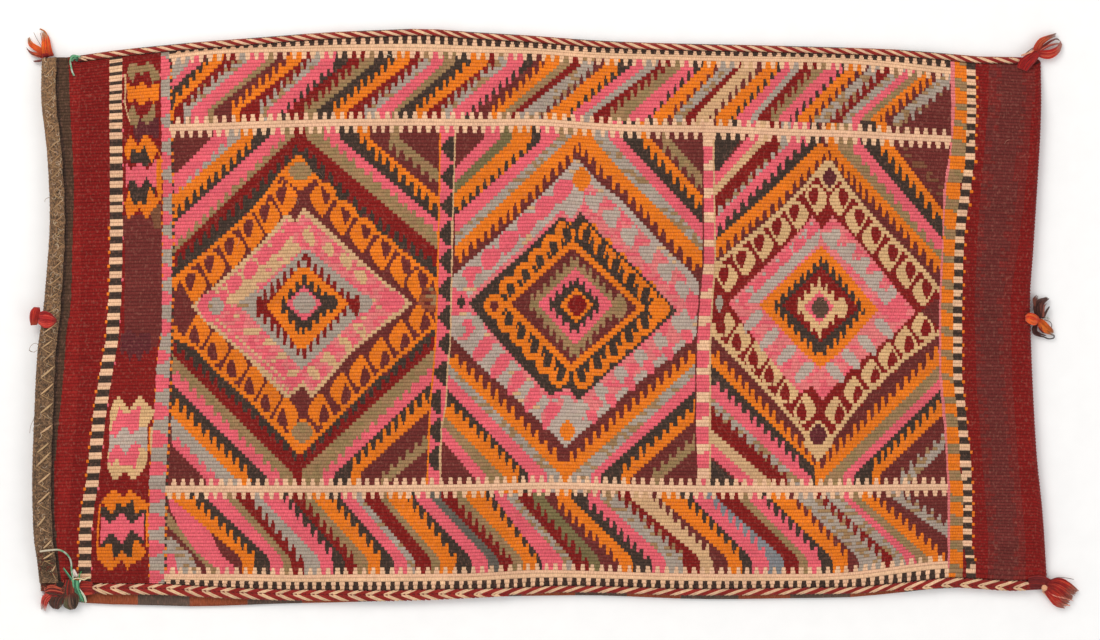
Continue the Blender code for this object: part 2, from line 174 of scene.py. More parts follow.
# ---------------------------------------------------------------- the camera
scene = bpy.context.scene
cam_data = bpy.data.cameras.new("camera")
cam = bpy.data.objects.new("camera", cam_data)
scene.collection.objects.link(cam)
cam_height = 6.0
cam.location = (-0.0022, -0.0005, cam_height)
cam.rotation_euler = (0.0, 0.0, 0.0)
cam_data.sensor_width = 36.0
cam_data.lens = 36.0 * (cam_height - 0.013) / (1100 * S)
cam_data.clip_start, cam_data.clip_end = 0.1, 50.0
scene.camera = cam


# ------------------------------------------------------------------- helpers
def srgb(r, g, b):
    """Linear colour from 0-255 display values."""
    out = []
    for v in (r, g, b):
        v = max(v, 0.0) / 255.0
        out.append(v / 12.92 if v <= 0.04045 else ((v + 0.055) / 1.055) ** 2.4)
    return tuple(out)


def link_obj(obj):
    scene.collection.objects.link(obj)
    return obj


def curve_points(points, count):
    pts = [Vector(p) for p in points]
    ext = [2 * pts[0] - pts[1]] + pts + [2 * pts[-1] - pts[-2]]
    fine = []
    for i in range(1, len(ext) - 2):
        p0, p1, p2, p3 = ext[i - 1:i + 3]
        for s in range(24):
            t = s / 24
            fine.append(0.5 * ((2 * p1) + (p2 - p0) * t
                               + (2 * p0 - 5 * p1 + 4 * p2 - p3) * t ** 2
                               + (3 * p1 - p0 - 3 * p2 + p3) * t ** 3))
    fine.append(pts[-1])
    run = [0.0]
    for a, b in zip(fine, fine[1:]):
        run.append(run[-1] + (b - a).length)
    out, j = [], 0
    for i in range(count):
        want = run[-1] * i / (count - 1)
        while j < len(run) - 2 and run[j + 1] < want:
            j += 1
        t = (want - run[j]) / max(run[j + 1] - run[j], 1e-9)
        out.append(fine[j].lerp(fine[j + 1], min(t, 1.0)))
    return out


def path_length(pts):
    return sum((Vector(b) - Vector(a)).length for a, b in zip(pts, pts[1:]))


class Nodes:
    """Short hand for building a material's nodes."""

    def __init__(self, name, rough=0.95, sheen=0.0):
        self.mat = bpy.data.materials.new(name)
        self.mat.use_nodes = True
        self.tree = self.mat.node_tree
        self.bsdf = self.tree.nodes["Principled BSDF"]
        self.bsdf.inputs["Roughness"].default_value = rough
        self.bsdf.inputs["Metallic"].default_value = 0.0
        self.bsdf.inputs["Specular IOR Level"].default_value = 0.12
        if sheen:
            self.bsdf.inputs["Sheen Weight"].default_value = sheen
            self.bsdf.inputs["Sheen Roughness"].default_value = 0.5

    def new(self, kind, **values):
        node = self.tree.nodes.new(kind)
        for key, value in values.items():
            setattr(node, key, value)
        return node

    def link(self, a, b):
        self.tree.links.new(a, b)

    def put(self, socket, value):
        if hasattr(value, "is_linked") or isinstance(value, bpy.types.NodeSocket):
            self.link(value, socket)
        else:
            socket.default_value = value

    def math(self, op, a, b=0.0, c=0.0, clamp=False):
        node = self.new("ShaderNodeMath", operation=op, use_clamp=clamp)
        for socket, value in zip(node.inputs, (a, b, c)):
            self.put(socket, value)
        return node.outputs[0]

    def mix(self, fac, a, b, mode="MIX"):
        node = self.new("ShaderNodeMix", data_type="RGBA", blend_type=mode)
        node.clamp_result = False
        self.put(node.inputs[0], fac)
        for socket, value in ((node.inputs[6], a), (node.inputs[7], b)):
            self.put(socket, (*value, 1.0) if isinstance(value, tuple) and len(value) == 3 else value)
        return node.outputs[2]

    def coords(self, scale=(1, 1, 1)):
        geo = self.new("ShaderNodeTexCoord")
        mapping = self.new("ShaderNodeMapping")
        self.link(geo.outputs["Object"], mapping.inputs[0])
        mapping.inputs["Scale"].default_value = scale
        return mapping.outputs[0]

    def noise(self, scale, stretch=(1, 1, 1), detail=2.0, rough=0.5):
        node = self.new("ShaderNodeTexNoise")
        self.link(self.coords(stretch), node.inputs["Vector"])
        node.inputs["Scale"].default_value = scale
        node.inputs["Detail"].default_value = detail
        node.inputs["Roughness"].default_value = rough
        return node.outputs["Fac"]

    def attr(self, name, out="Fac"):
        node = self.new("ShaderNodeAttribute", attribute_name=name)
        return node.outputs[out]

    def remap(self, value, a, b, c, d):
        node = self.new("ShaderNodeMapRange")
        self.put(node.inputs[0], value)
        for i, v in enumerate((a, b, c, d)):
            node.inputs[i + 1].default_value = v
        return node.outputs[0]

    def bump(self, height, strength, distance):
        node = self.new("ShaderNodeBump")
        node.inputs["Strength"].default_value = strength
        node.inputs["Distance"].default_value = distance
        self.put(node.inputs["Height"], height)
        return node.outputs[0]


# ------------------------------------------------------------ the tie threads
def thread_wool(name, rgb, pale):
    n = Nodes(name, rough=0.85, sheen=0.1)
    along = n.noise(160.0, (1, 1, 1), 2.0, 0.5)
    fibre = n.noise(1300.0, (1, 1, 1), 3.0, 0.6)
    base = n.mix(n.remap(along, 0.50, 0.62, 0.0, 1.0), srgb(*rgb), srgb(*pale))
    base = n.mix(n.remap(fibre, 0.3, 0.75, 0.0, 0.45), base, srgb(40, 70, 52))
    tex = n.new("ShaderNodeTexCoord")
    sep = n.new("ShaderNodeSeparateXYZ")
    n.link(tex.outputs["Object"], sep.inputs[0])
    base = n.mix(n.remap(sep.outputs["X"], -0.545, -0.536, 0.85, 0.0), base, srgb(214, 194, 172))
    n.link(base, n.bsdf.inputs["Base Color"])
    n.link(n.bump(fibre, 0.6, 0.4 * MM), n.bsdf.inputs["Normal"])
    return n.mat


def on_cloth(x, y, lift):
    return (x * MM, y * MM, float(front_top(x * MM, y * MM)) + TIE_D / 2 + lift * MM)


def on_rim_hem(x, y, lift):
    return (x * MM, y * MM, float(hem_top(x * MM, y * MM)) + TIE_D / 2 + lift * MM)


def on_braid(x, y, lift):
    return (x * MM, y * MM, float(back_mid(x * MM, y * MM)) + CLOTH_T / 2 + GAP + BRAID_H + TIE_D / 2 + lift * MM)


def tie_thread(name, points, count, mat, node):
    pts = curve_points(points, count)
    cu = bpy.data.curves.new(name, "CURVE")
    cu.dimensions = "3D"
    cu.bevel_depth = TIE_D / 2
    cu.bevel_resolution = 3
    cu.use_fill_caps = True
    sp = cu.splines.new("POLY")
    sp.points.add(len(pts) - 1)
    for p, q in zip(sp.points, pts):
        p.co = (*q, 1.0)
    cu.materials.append(mat)
    obj = link_obj(bpy.data.objects.new(name, cu))
    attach(obj, "root")
    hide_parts(node)
    return obj, pts


tie_mat = thread_wool("tie_green_wool", (112, 176, 132), (206, 214, 196))
upper_tie, upper_pts = tie_thread("upper_tie", [on_braid(-517.5, 288.2, 0.5), on_braid(-522, 289.2, 0.5),
                                                on_braid(-526.8, 287.6, 0.5), on_braid(-528.4, 282.9, 0.5),
                                                on_cloth(-527.4, 277.3, 1.5), on_cloth(-526.4, 272.2, 0.7),
                                                on_cloth(-524.2, 267.4, 0.6)], 22, tie_mat, "upper_tie_thread")
lower_tie, lower_pts = tie_thread("lower_tie", [on_rim_hem(-561, -254, 2.4), on_rim_hem(-549, -252.5, 2.5),
                                                (-0.539, -0.2525, float(hem_top(-0.545, -0.2525)) + 2.6 * MM),
                                                on_cloth(-531, -258, 3.0), on_cloth(-527.5, -266, 0.7),
                                                on_cloth(-527, -276, 0.7), on_cloth(-525, -286, 0.9)],
                                  30, tie_mat, "lower_tie_thread")
print("tie threads, m:", round(path_length(upper_pts), 4), round(path_length(lower_pts), 4))


# =================================================================== pattern
# The weave is drawn in the photo's own pixel grid with simple shapes of yarn
# colour. Ribs of the cloth run along X, and each shape is cut to whole ribs.
YARN = {
    "red": (130, 26, 23), "dred": (132, 28, 25), "maroon": (110, 45, 41), "plum": (98, 41, 44),
    "orange": (234, 121, 28), "pink": (231, 98, 110), "grey": (170, 153, 138), "dpink": (227, 122, 121),
    "lgrey": (184, 164, 150), "dgrey": (104, 96, 86), "tan": (160, 124, 86), "beige": (212, 168, 124),
    "cream": (236, 188, 150), "black": (66, 52, 44), "brown": (92, 68, 54), "dbrown": (66, 50, 42), "sand": (218, 174, 124),
    "green": (122, 108, 70), "olive": (150, 122, 82), "bred": (141, 31, 27), "rust": (150, 76, 48),
    "back": (96, 78, 68), "blue": (132, 132, 134), "mred": (122, 40, 36),
    "hair": (110, 78, 56), "hairl": (148, 111, 80), "haird": (68, 48, 38), "hairb": (120, 66, 48), "hairt": (158, 114, 76),
    "band": (80, 58, 44), "brownish": (124, 78, 54),
}
# Mixed yarns: two or three colours spun or picked by turns along a rib.
MIXED = {
    "mottle": (("dpink", 0.50), ("beige", 0.50)),
    "ash": (("lgrey", 0.94), ("beige", 0.06)),
    "wing": (("dpink", 0.66), ("pink", 0.34)),
    "mottleb": (("beige", 0.90), ("dpink", 0.10)),
    "mottlep": (("pink", 0.48), ("dpink", 0.48), ("beige", 0.04)),
    "mottleg": (("lgrey", 0.86), ("dpink", 0.14)),
    "mottlegp": (("dpink", 0.62), ("pink", 0.30), ("lgrey", 0.08)),
    "ringmix": (("lgrey", 0.55), ("beige", 0.45)),
    "heather": (("tan", 0.60), ("olive", 0.40)),
    "greytan": (("grey", 0.72), ("tan", 0.28)),
    "faint": (("maroon", 0.45), ("brownish", 0.55)),
    "rustmix": (("rust", 0.6), ("tan", 0.2), ("maroon", 0.2)),
    "maroonred": (("maroon", 0.62), ("mred", 0.38)),
    "redmaroon": (("mred", 0.7), ("maroon", 0.3)),
}
NAMES = list(YARN) + list(MIXED)
CODE = {n: i for i, n in enumerate(NAMES)}

# Rows of ribs follow the cloth's own lines: the cream lines 1 to 4.
LINE1 = [(20, 69), (50, 69.5), (80, 68), (110, 63), (150, 57.5), (175, 54), (210, 49.8), (240, 48.8),
         (300, 48), (360, 47), (400, 47), (440, 48), (500, 49.5), (540, 49.8), (570, 53),
         (600, 55), (640, 55.5), (700, 57), (740, 58), (780, 58), (840, 59), (880, 62),
         (910, 66), (940, 70), (980, 73), (1045, 77)]
LINE2 = [(50, 131), (110, 129), (170, 127.5), (210, 127), (250, 125), (300, 123.5), (340, 122.5),
         (430, 122), (460, 122.5), (490, 123), (530, 121.5), (560, 123), (590, 126.5), (640, 128.5),
         (720, 129), (760, 131), (800, 133), (850, 133.5), (880, 136), (940, 138.5), (1045, 143)]
LINE3 = [(50, 492), (110, 490), (168, 489), (330, 489), (440, 488), (500, 487), (540, 485.5),
         (560, 485.5), (640, 488), (700, 489), (820, 489), (870, 488), (940, 487), (1045, 488)]
LINE4 = [(50, 577), (165, 577.5), (250, 577.5), (300, 579), (330, 578), (490, 577), (500, 575),
         (530, 573), (560, 573.5), (640, 576), (700, 577.5), (830, 577.5), (870, 574),
         (890, 571), (905, 568), (920, 566), (940, 563.5), (980, 564), (1045, 568)]
PARTS = (3, 21, 104, 26, 3)
NR = sum(PARTS)
FIRST_X, STEP_X = 28.0, 0.5
GX = np.arange(FIRST_X, 1052.0, STEP_X)


def lin(table, xs):
    return np.interp(xs, [p[0] for p in table], [p[1] for p in table])


def smoothed(table, xs, width=24.0):
    return sum(lin(table, xs + d * width) for d in (-1.0, -0.5, 0.0, 0.5, 1.0)) / 5.0


def row_lines(xs):
    """Photo y of the NR + 1 grooves between ribs, at photo x."""
    xs = np.asarray(xs, float)
    marks = [PY(edge_y(MX(xs), True, True)), smoothed(LINE1, xs), smoothed(LINE2, xs),
             smoothed(LINE3, xs), smoothed(LINE4, xs), PY(edge_y(MX(xs), False, True))]
    rows = []
    for part, (a, b) in zip(PARTS, zip(marks, marks[1:])):
        for k in range(part):
            rows.append(a + (b - a) * k / part)
    rows.append(marks[-1])
    return np.array(rows)


GROOVE = row_lines(GX)                              # (NR + 1, n)
RIB_Y = (GROOVE[:-1] + GROOVE[1:]) / 2              # rib centres
CELL = np.full(RIB_Y.shape, CODE["red"], np.int16)
GXX = np.broadcast_to(GX, RIB_Y.shape)


def P(colour, pts, where=None):
    """Fills a polygon given in photo pixels."""
    pts = np.asarray(pts, float)
    lo, hi = pts.min(0) - 0.5, pts.max(0) + 0.5
    i0 = max(int((lo[0] - FIRST_X) / STEP_X), 0)
    i1 = min(int((hi[0] - FIRST_X) / STEP_X) + 2, len(GX))
    if i1 <= i0:
        return
    sub_y = RIB_Y[:, i0:i1]
    rows = np.where((sub_y.max(1) >= lo[1]) & (sub_y.min(1) <= hi[1]))[0]
    if not len(rows):
        return
    r0, r1 = rows[0], rows[-1] + 1
    px, py = GXX[r0:r1, i0:i1], RIB_Y[r0:r1, i0:i1]
    inside = np.zeros(px.shape, bool)
    n = len(pts)
    for k in range(n):
        (xa, ya), (xb, yb) = pts[k], pts[(k + 1) % n]
        if ya == yb:
            continue
        cross = ((ya > py) != (yb > py)) & (px < (xb - xa) * (py - ya) / (yb - ya) + xa)
        inside ^= cross
    view = CELL[r0:r1, i0:i1]
    if where is not None:
        inside &= np.isin(view, [CODE[w] for w in where])
    view[inside] = CODE[colour]


def R(colour, x0, x1, y0, y1):
    P(colour, [(x0, y0), (x1, y0), (x1, y1), (x0, y1)])


def D(colour, cx, cy, rx, ry, where=None):
    """A lozenge with rounded sides."""
    pts = []
    for i in range(24):
        a = 2 * math.pi * i / 24
        c, s = math.cos(a), math.sin(a)
        pts.append((cx + rx * math.copysign(abs(c) ** 1.35, c), cy + ry * math.copysign(abs(s) ** 1.35, s)))
    P(colour, pts, where)


def LINE(colour, pts, width, where=None):
    """A thin woven line; width is measured across it."""
    for (xa, ya), (xb, yb) in zip(pts, pts[1:]):
        d = math.hypot(xb - xa, yb - ya)
        if d < 1e-6:
            continue
        nx, ny = -(yb - ya) / d * width / 2, (xb - xa) / d * width / 2
        ex, ey = (xb - xa) / d * 0.6, (yb - ya) / d * 0.6
        P(colour, [(xa + nx - ex, ya + ny - ey), (xb + nx + ex, yb + ny + ey),
                   (xb - nx + ex, yb - ny + ey), (xa - nx - ex, ya - ny - ey)], where)


def walk(path, x):
    """y of a path at x, and its slope."""
    for (xa, ya), (xb, yb) in zip(path, path[1:]):
        if min(xa, xb) <= x <= max(xa, xb) and abs(xb - xa) > 1e-6:
            return ya + (yb - ya) * (x - xa) / (xb - xa), (yb - ya) / (xb - xa)
    return None, None


def name_at(x, y):
    """The yarn that the drawing has at a photo pixel so far."""
    i = min(max(int((x - FIRST_X) / STEP_X), 0), len(GX) - 1)
    return NAMES[int(CELL[int(np.argmin(np.abs(RIB_Y[:, i] - y))), i])]


def LEAF(colour, cx, cy, rx, ry, lean=0.0, where=None):
    """An oval that leans, pointed at its lower end."""
    pts = []
    for i in range(20):
        a = 2 * math.pi * i / 20
        c, s = math.cos(a), math.sin(a)
        pts.append((cx + rx * c * (1.0 - 0.35 * s) - lean * ry * s, cy + ry * s))
    P(colour, pts, where)


def FING(colour, path, up, pitch=7.2, h=7.5, w=4.4, start=3.0, stop=1.0, at=None, cut=4.6):
    """Fingers that stand up or hang down from a slanting edge, one rib-step at a time."""
    xs = [p[0] for p in path]
    lo, hi = min(xs), max(xs)
    places = at
    if places is None:
        places, x = [], lo + start
        while x <= hi - stop:
            places.append(x + random.uniform(-0.5, 0.5))
            x += pitch
    for x in places:
        y, k = walk(path, x)
        if y is None or abs(k) > 3.0:
            continue
        lean = (-1.0 if up else 1.0) * (1.0 if k < 0 else -1.0)
        d = -1.0 if up else 1.0
        hh = h * random.uniform(0.88, 1.1)
        if cut:
            # the gap beside each finger runs back into the stripe
            gx = x + lean * 0.48 * pitch
            gy = walk(path, gx)[0]
            if gy is not None:
                near = name_at(gx, gy + d * 3.6)
                if near != colour:
                    P(near, [(gx - lean * 1.9, gy + d * 2.4), (gx + lean * 1.7, gy + d * 2.4), (gx + lean * 1.5, gy - d * cut)])
        P(colour, [(x + lean * w * 0.5, y + d * hh), (x - lean * w * 0.12, y + d * hh),
                   (x - lean * w * 0.62, y - d * 3.2), (x + lean * w * 0.5, y - d * 3.2)])


def STRIP(colour, a, b):
    """The area between two paths."""
    P(colour, list(a) + list(reversed(b)))


# --- grounds of the two ends
R("red", 40, 172, 30, 620)
P("band", [(40, 30), (67, 30), (68, 60), (71, 130), (76, 180), (77, 200), (77, 260), (75, 270), (74, 290), (71, 310),
           (68, 320), (66, 335), (64, 370), (61, 400), (57, 440), (54, 480), (56, 530), (58, 620), (40, 620)])
P("bred", [(68, 30), (80, 30), (80, 190), (81, 300), (76, 420), (68, 520), (60, 620), (54, 620), (60, 420), (71, 300), (74, 190)])
R("red", 940, 1060, 30, 620)
P("redmaroon", [(990, 30), (988, 100), (984, 150), (978, 220), (974, 300), (976, 380), (982, 460), (988, 540), (988, 620),
                (1060, 620), (1060, 30)])
P("maroonred", [(998, 30), (996, 100), (991, 150), (984, 220), (979, 300), (981, 380), (988, 460), (994, 540), (994, 620),
                (1060, 620), (1060, 30)])
P("maroon", [(1003, 30), (1001, 100), (996, 150), (988, 220), (983, 300), (985, 380), (992, 460), (998, 540), (998, 620),
             (1014, 620), (1014, 540), (1008, 460), (1000, 380), (996, 300), (1000, 250), (1010, 200), (1016, 150), (1022, 100), (1024, 30)])
P("mred", [(1027, 30), (1026, 100), (1022, 150), (1016, 200), (1009, 252), (1002, 300), (1004, 380), (1012, 460), (1018, 540), (1020, 620),
           (1060, 620), (1060, 30)])
P("red", [(1033, 30), (1032, 100), (1029, 150), (1024, 200), (1017, 252), (1010, 300), (1012, 380), (1018, 460), (1025, 540), (1027, 620),
          (1060, 620), (1060, 30)])

# --- top band: leaning stripes between lines 1 and 2
R("maroon", 168, 952, 40, 140)
P("red", [(168, 50), (177, 50), (175, 64), (170, 74), (168, 76)])
P("greytan", [(176, 50), (200, 48), (191, 62), (182, 72), (172, 86), (168, 90), (168, 74), (176, 62)])
P("pink", [(190, 52), (206, 48), (202, 63), (190, 72), (183, 80), (172, 92), (168, 96), (168, 86), (178, 75), (188, 64)])
P("black", [(168, 104), (168, 92), (178, 84), (186, 75), (198, 66), (205, 61), (208, 50), (214, 50), (212, 62), (196, 80), (172, 106)])
TOPBAND = [
    ("orange", 169, 174, 211, 224, "U"), ("red", 174, 184, 224, 239, ""), ("greytan", 184, 191, 239, 248, "U"),
    ("pink", 191, 208, 248, 266, ""), ("heather", 208, 214, 266, 275, ""), ("maroon", 214, 231, 275, 290, ""),
    ("orange", 232, 240, 290, 302, "U"), ("red", 240, 260, 302, 312, ""), ("greytan", 260, 267, 312, 321, "U"),
    ("pink", 267, 281, 321, 336, "D"), ("black", 281, 286, 336, 349, ""), ("red", 286, 305, 349, 365, ""),
    ("heather", 305, 316, 365, 375, "U"), ("black", 316, 334, 375, 395, ""), ("orange", 334, 347, 395, 410, "U"),
    ("red", 347, 365, 410, 424, ""), ("greytan", 365, 375, 424, 432, "U"), ("pink", 375, 392, 432, 444, ""),
    ("heather", 392, 398, 444, 456, ""), ("black", 398, 416, 456, 472, ""), ("orange", 416, 426, 472, 489, "U"),
    ("red", 426, 441, 489, 498, ""), ("greytan", 441, 450, 498, 508, "U"), ("pink", 450, 466, 508, 524, "D"),
    ("black", 466, 470, 524, 534, ""), ("maroon", 470, 492, 534, 546, ""), ("orange", 492, 502, 546, 560, "U"),
    ("heather", 502, 512, 560, 571, ""), ("red", 512, 520, 571, 582, ""), ("greytan", 520, 541, 582, 595, "D"),
    ("maroon", 541, 547, 595, 605, ""), ("orange", 547, 565, 605, 621, "D"), ("black", 565, 571, 621, 633, ""),
    ("pink", 571, 584, 633, 647, ""), ("grey", 584, 593, 647, 659, ""), ("red", 593, 611, 659, 673, ""),
    ("heather", 611, 629, 673, 684, "U"), ("pink", 629, 648, 684, 695, "D"), ("black", 648, 653, 695, 704, ""),
    ("orange", 653, 668, 704, 717, "D"), ("maroon", 668, 674, 717, 722, ""), ("greytan", 674, 686, 722, 736, ""),
    ("red", 686, 696, 736, 742, ""), ("beige", 696, 709, 742, 757, "D"), ("maroon", 709, 716, 757, 766, ""),
    ("orange", 716, 731, 766, 778, "D"), ("black", 731, 737, 778, 785, ""), ("pink", 737, 751, 785, 794, ""),
    ("grey", 751, 758, 794, 802, ""), ("red", 758, 771, 802, 818, ""), ("heather", 771, 779, 818, 827, "U"),
    ("pink", 779, 790, 827, 842, "D"), ("black", 790, 798, 842, 849, ""), ("orange", 798, 809, 849, 861, "D"),
    ("plum", 809, 815, 861, 870, ""), ("greytan", 815, 830, 870, 881, "D"), ("red", 830, 843, 881, 895, ""),
    ("greytan", 843, 852, 895, 908, ""), ("pink", 852, 862, 908, 919, ""), ("heather", 862, 871, 919, 930, ""),
    ("orange", 871, 880, 930, 940, "D"),
]


def top_path(xb, xt):
    yk = 109 + 0.012 * (xb - 170)
    yt = 60 + 0.012 * (xb - 170)
    return [(xb, 134), (xb, yk), (xt - 1.5, yt + 1), (xt, yt - 9), (xt, 40)]


for name, b0, b1, t0, t1, teeth in TOPBAND:
    STRIP(name, top_path(b0, t0), top_path(b1, t1))
for name, b0, b1, t0, t1, teeth in TOPBAND:
    if teeth == "U":
        FING(name, top_path(b0, t0), True, pitch=6.7, h=7.0, w=3.8, start=1.5)
    elif teeth == "D":
        FING(name, top_path(b1, t1), False, pitch=6.7, h=7.0, w=4.2, start=3.0)
# the corner triangle at the band's right end
P("maroon", [(880, 134), (880, 116), (938, 66), (940, 50), (953, 50), (953, 140)])
FING("orange", top_path(880, 940), False, pitch=6.7, h=7.0, w=4.2, start=3.0)
STRIP("greytan", [(893, 134), (893, 118), (950, 68)], [(902, 134), (902, 122), (953, 80)])
FING("greytan", [(902, 122), (953, 80)], False, pitch=7.0, h=6.5, w=4.0)

# --- bottom band: stripes that lean the other way, between lines 3 and 4
R("maroon", 165, 952, 486, 584)
P("pink", [(168, 493), (190, 493), (222, 556), (240, 572), (240, 584), (220, 584), (196, 556), (170, 510)])
P("heather", [(164, 508), (171, 516), (196, 552), (220, 572), (220, 584), (210, 584), (190, 562), (164, 524)])
P("maroon", [(163, 524), (172, 530), (205, 566), (210, 584), (160, 584)])
P("greytan", [(164, 540), (172, 538), (192, 556), (196, 566), (196, 584), (162, 584)])
P("pink", [(160, 556), (174, 554), (178, 574), (160, 574)])
BOTBAND = [
    ("orange", 172, 190, 242, 254, "U"), ("black", 190, 207, 254, 270, ""), ("pink", 207, 227, 270, 283, ""),
    ("heather", 227, 237, 283, 291, ""), ("red", 237, 254, 291, 304, ""), ("grey", 254, 262, 304, 320, "D"),
    ("pink", 262, 282, 320, 333, "U"), ("black", 282, 292, 333, 345, ""), ("red", 292, 305, 345, 357, ""),
    ("heather", 305, 313, 357, 368, "D"), ("orange", 313, 330, 368, 380, "U"), ("black", 330, 341, 380, 394, ""),
    ("pink", 341, 355, 394, 407, ""), ("greytan", 355, 363, 407, 415, ""), ("red", 363, 380, 415, 431, ""),
    ("heather", 380, 387, 431, 440, ""), ("orange", 387, 406, 440, 455, "U"), ("black", 406, 415, 455, 472, ""),
    ("pink", 415, 431, 472, 488, ""), ("dgrey", 431, 441, 488, 499, ""), ("red", 441, 457, 499, 513, ""),
    ("heather", 457, 466, 513, 523, "D"), ("orange", 466, 486, 523, 535, "U"), ("black", 486, 495, 535, 542, ""),
    ("pink", 495, 507, 542, 563, ""), ("greytan", 507, 518, 563, 572, ""), ("red", 518, 533, 572, 589, ""),
    ("green", 533, 545, 589, 600, "D"), ("maroon", 545, 557, 600, 619, ""), ("orange", 557, 571, 619, 633, "D"),
    ("black", 571, 588, 633, 652, ""), ("pink", 588, 600, 652, 666, "D"), ("greytan", 600, 618, 666, 683, "U"),
    ("red", 618, 631, 683, 700, ""), ("beige", 631, 652, 700, 713, "U"), ("maroon", 652, 661, 713, 728, ""),
    ("orange", 661, 681, 728, 742, "U"), ("black", 681, 693, 742, 752, ""), ("pink", 693, 707, 752, 769, "U"),
    ("blue", 707, 717, 769, 784, ""), ("red", 717, 738, 784, 799, ""), ("heather", 738, 748, 799, 808, ""),
    ("pink", 748, 760, 808, 821, "U"), ("black", 760, 771, 821, 833, ""), ("orange", 771, 790, 833, 848, "U"),
    ("maroon", 790, 797, 848, 859, ""), ("greytan", 797, 817, 859, 881, "U"), ("red", 817, 827, 881, 894, ""),
    ("greytan", 827, 843, 894, 906, ""), ("pink", 843, 851, 906, 917, ""), ("heather", 851, 861, 917, 930, ""),
    ("orange", 861, 873, 930, 944, "U"),
]


def bot_path(xt, xb):
    return [(xt, 480), (xt, 499), (xb - 3.0, 556), (xb, 563), (xb, 590)]


for name, t0, t1, b0, b1, teeth in BOTBAND:
    STRIP(name, bot_path(t0, b0), bot_path(t1, b1))
for name, t0, t1, b0, b1, teeth in BOTBAND:
    if teeth == "U":
        FING(name, bot_path(t1, b1), True, pitch=7.3, h=7.5, w=4.2, start=4.0)
    elif teeth == "D":
        FING(name, bot_path(t0, b0), False, pitch=6.8, h=7.2, w=4.2, start=3.0)
FING("greytan", [(164, 541), (190, 560)], True, pitch=8.5, h=6.0, w=4.5, start=3.0)
STRIP("greytan", [(888, 480), (889, 496), (948, 538)], [(898, 480), (898, 492), (951, 528)])
FING("greytan", [(898, 494), (950, 528)], True, pitch=7.5, h=6.0, w=4.0)

# =============================================================== middle field
R("maroon", 168, 952, 126, 490)


def Q(colour, path, close):
    P(colour, list(path) + list(close))


# ---- left cell
LTc = [(171, 306), (304, 306)]
for name, path in (
        ("pink", [(214, 122), (213, 136), (171, 179)]),
        ("grey", [(227, 122), (227, 138), (171, 197)]),
        ("orange", [(241, 122), (240, 138), (171, 199)]),
        ("black", [(254, 122), (253, 139), (171, 213)]),
        ("pink", [(271, 122), (270, 136), (171, 226)]),
        ("heather", [(286, 122), (285, 135), (171, 247)]),
        ("red", [(295, 122), (294, 136), (171, 256)])):
    Q(name, path, LTc + [(304, 122)])
Q("black", [(300, 141), (248, 193), (171, 262)], LTc)
Q("orange", [(299, 153), (280, 172), (264, 195), (248, 213), (228, 231), (208, 249), (188, 265), (171, 280)], LTc)
FING("orange", [(253, 139), (171, 213)], False, pitch=7.4, h=8.0, w=4.6, start=4)
FING("red", [(300, 141), (248, 193), (171, 262)], False, pitch=8.2, h=8.0, w=5.0, start=4, cut=2.0)
FING("pink", [(285, 135), (171, 247)], False, pitch=7.6, h=4.5, w=5.0, start=5, cut=3.0)
FING("pink", [(226, 139), (171, 196)], False, pitch=8.0, h=5.0, w=5.0, start=5, cut=2.0)

RTc = [(438, 306), (300, 306)]
for name, path in (
        ("orange", [(369, 122), (370, 139), (440, 199)]),
        ("black", [(356, 122), (357, 133), (440, 208)]),
        ("pink", [(340, 122), (340, 139), (440, 223)]),
        ("heather", [(324, 122), (324, 140), (440, 236)]),
        ("red", [(304, 122), (306, 138), (440, 252)])):
    Q(name, path, RTc + [(300, 122)])
Q("black", [(300, 141), (360, 203), (440, 264)], RTc)
Q("orange", [(299, 153), (317, 176), (338, 199), (360, 217), (380, 233), (400, 249), (420, 265), (440, 282)], RTc)
FING("orange", [(357, 133), (440, 208)], False, at=[362, 369, 377, 384, 392, 400, 408, 416, 423, 431], h=8.5, w=4.8)
FING("heather", [(324, 140), (440, 236)], True, pitch=8.6, h=4.5, w=5.0, cut=2.0)
FING("red", [(300, 141), (360, 203), (440, 264)], False, pitch=8.2, h=8.0, w=5.0, cut=2.0)
STRIP("heather", [(389, 122), (390, 143), (438, 183)], [(399, 122), (399, 138), (440, 172)])
FING("heather", [(390, 143), (440, 183)], False, at=[391, 398, 407, 415, 423, 431], h=6.5, w=4.0)

LBc = [(171, 306), (304, 306)]
for name, path in (
        ("pink", [(172, 445), (206, 480), (206, 492)]),
        ("grey", [(172, 432), (222, 480), (222, 492)]),
        ("orange", [(172, 416), (238, 481), (238, 492)]),
        ("black", [(172, 404), (252, 480), (252, 492)]),
        ("pink", [(172, 384), (268, 478), (268, 492)]),
        ("heather", [(172, 366), (283, 476), (283, 492)]),
        ("red", [(172, 354), (293, 474), (293, 492)])):
    Q(name, path, [(304, 492), (304, 306), (171, 306)])
Q("black", [(171, 347), (234, 402), (300, 465)], [(304, 465), (304, 306), (171, 306)])
Q("orange", [(171, 337), (194, 348), (214, 370), (234, 388), (254, 406), (274, 428), (288, 442), (299, 455)],
  [(304, 455), (304, 306), (171, 306)])
FING("orange", [(172, 404), (252, 480)], True, pitch=7.6, h=8.0, w=4.6, start=4)
FING("red", [(171, 347), (234, 402), (300, 465)], True, pitch=8.2, h=6.5, w=5.0, cut=2.0)
FING("grey", [(172, 432), (222, 480)], False, pitch=8.4, h=5.0, w=4.6, cut=2.0)
FING("heather", [(172, 366), (283, 476)], False, pitch=8.2, h=4.5, w=5.0, cut=2.0)

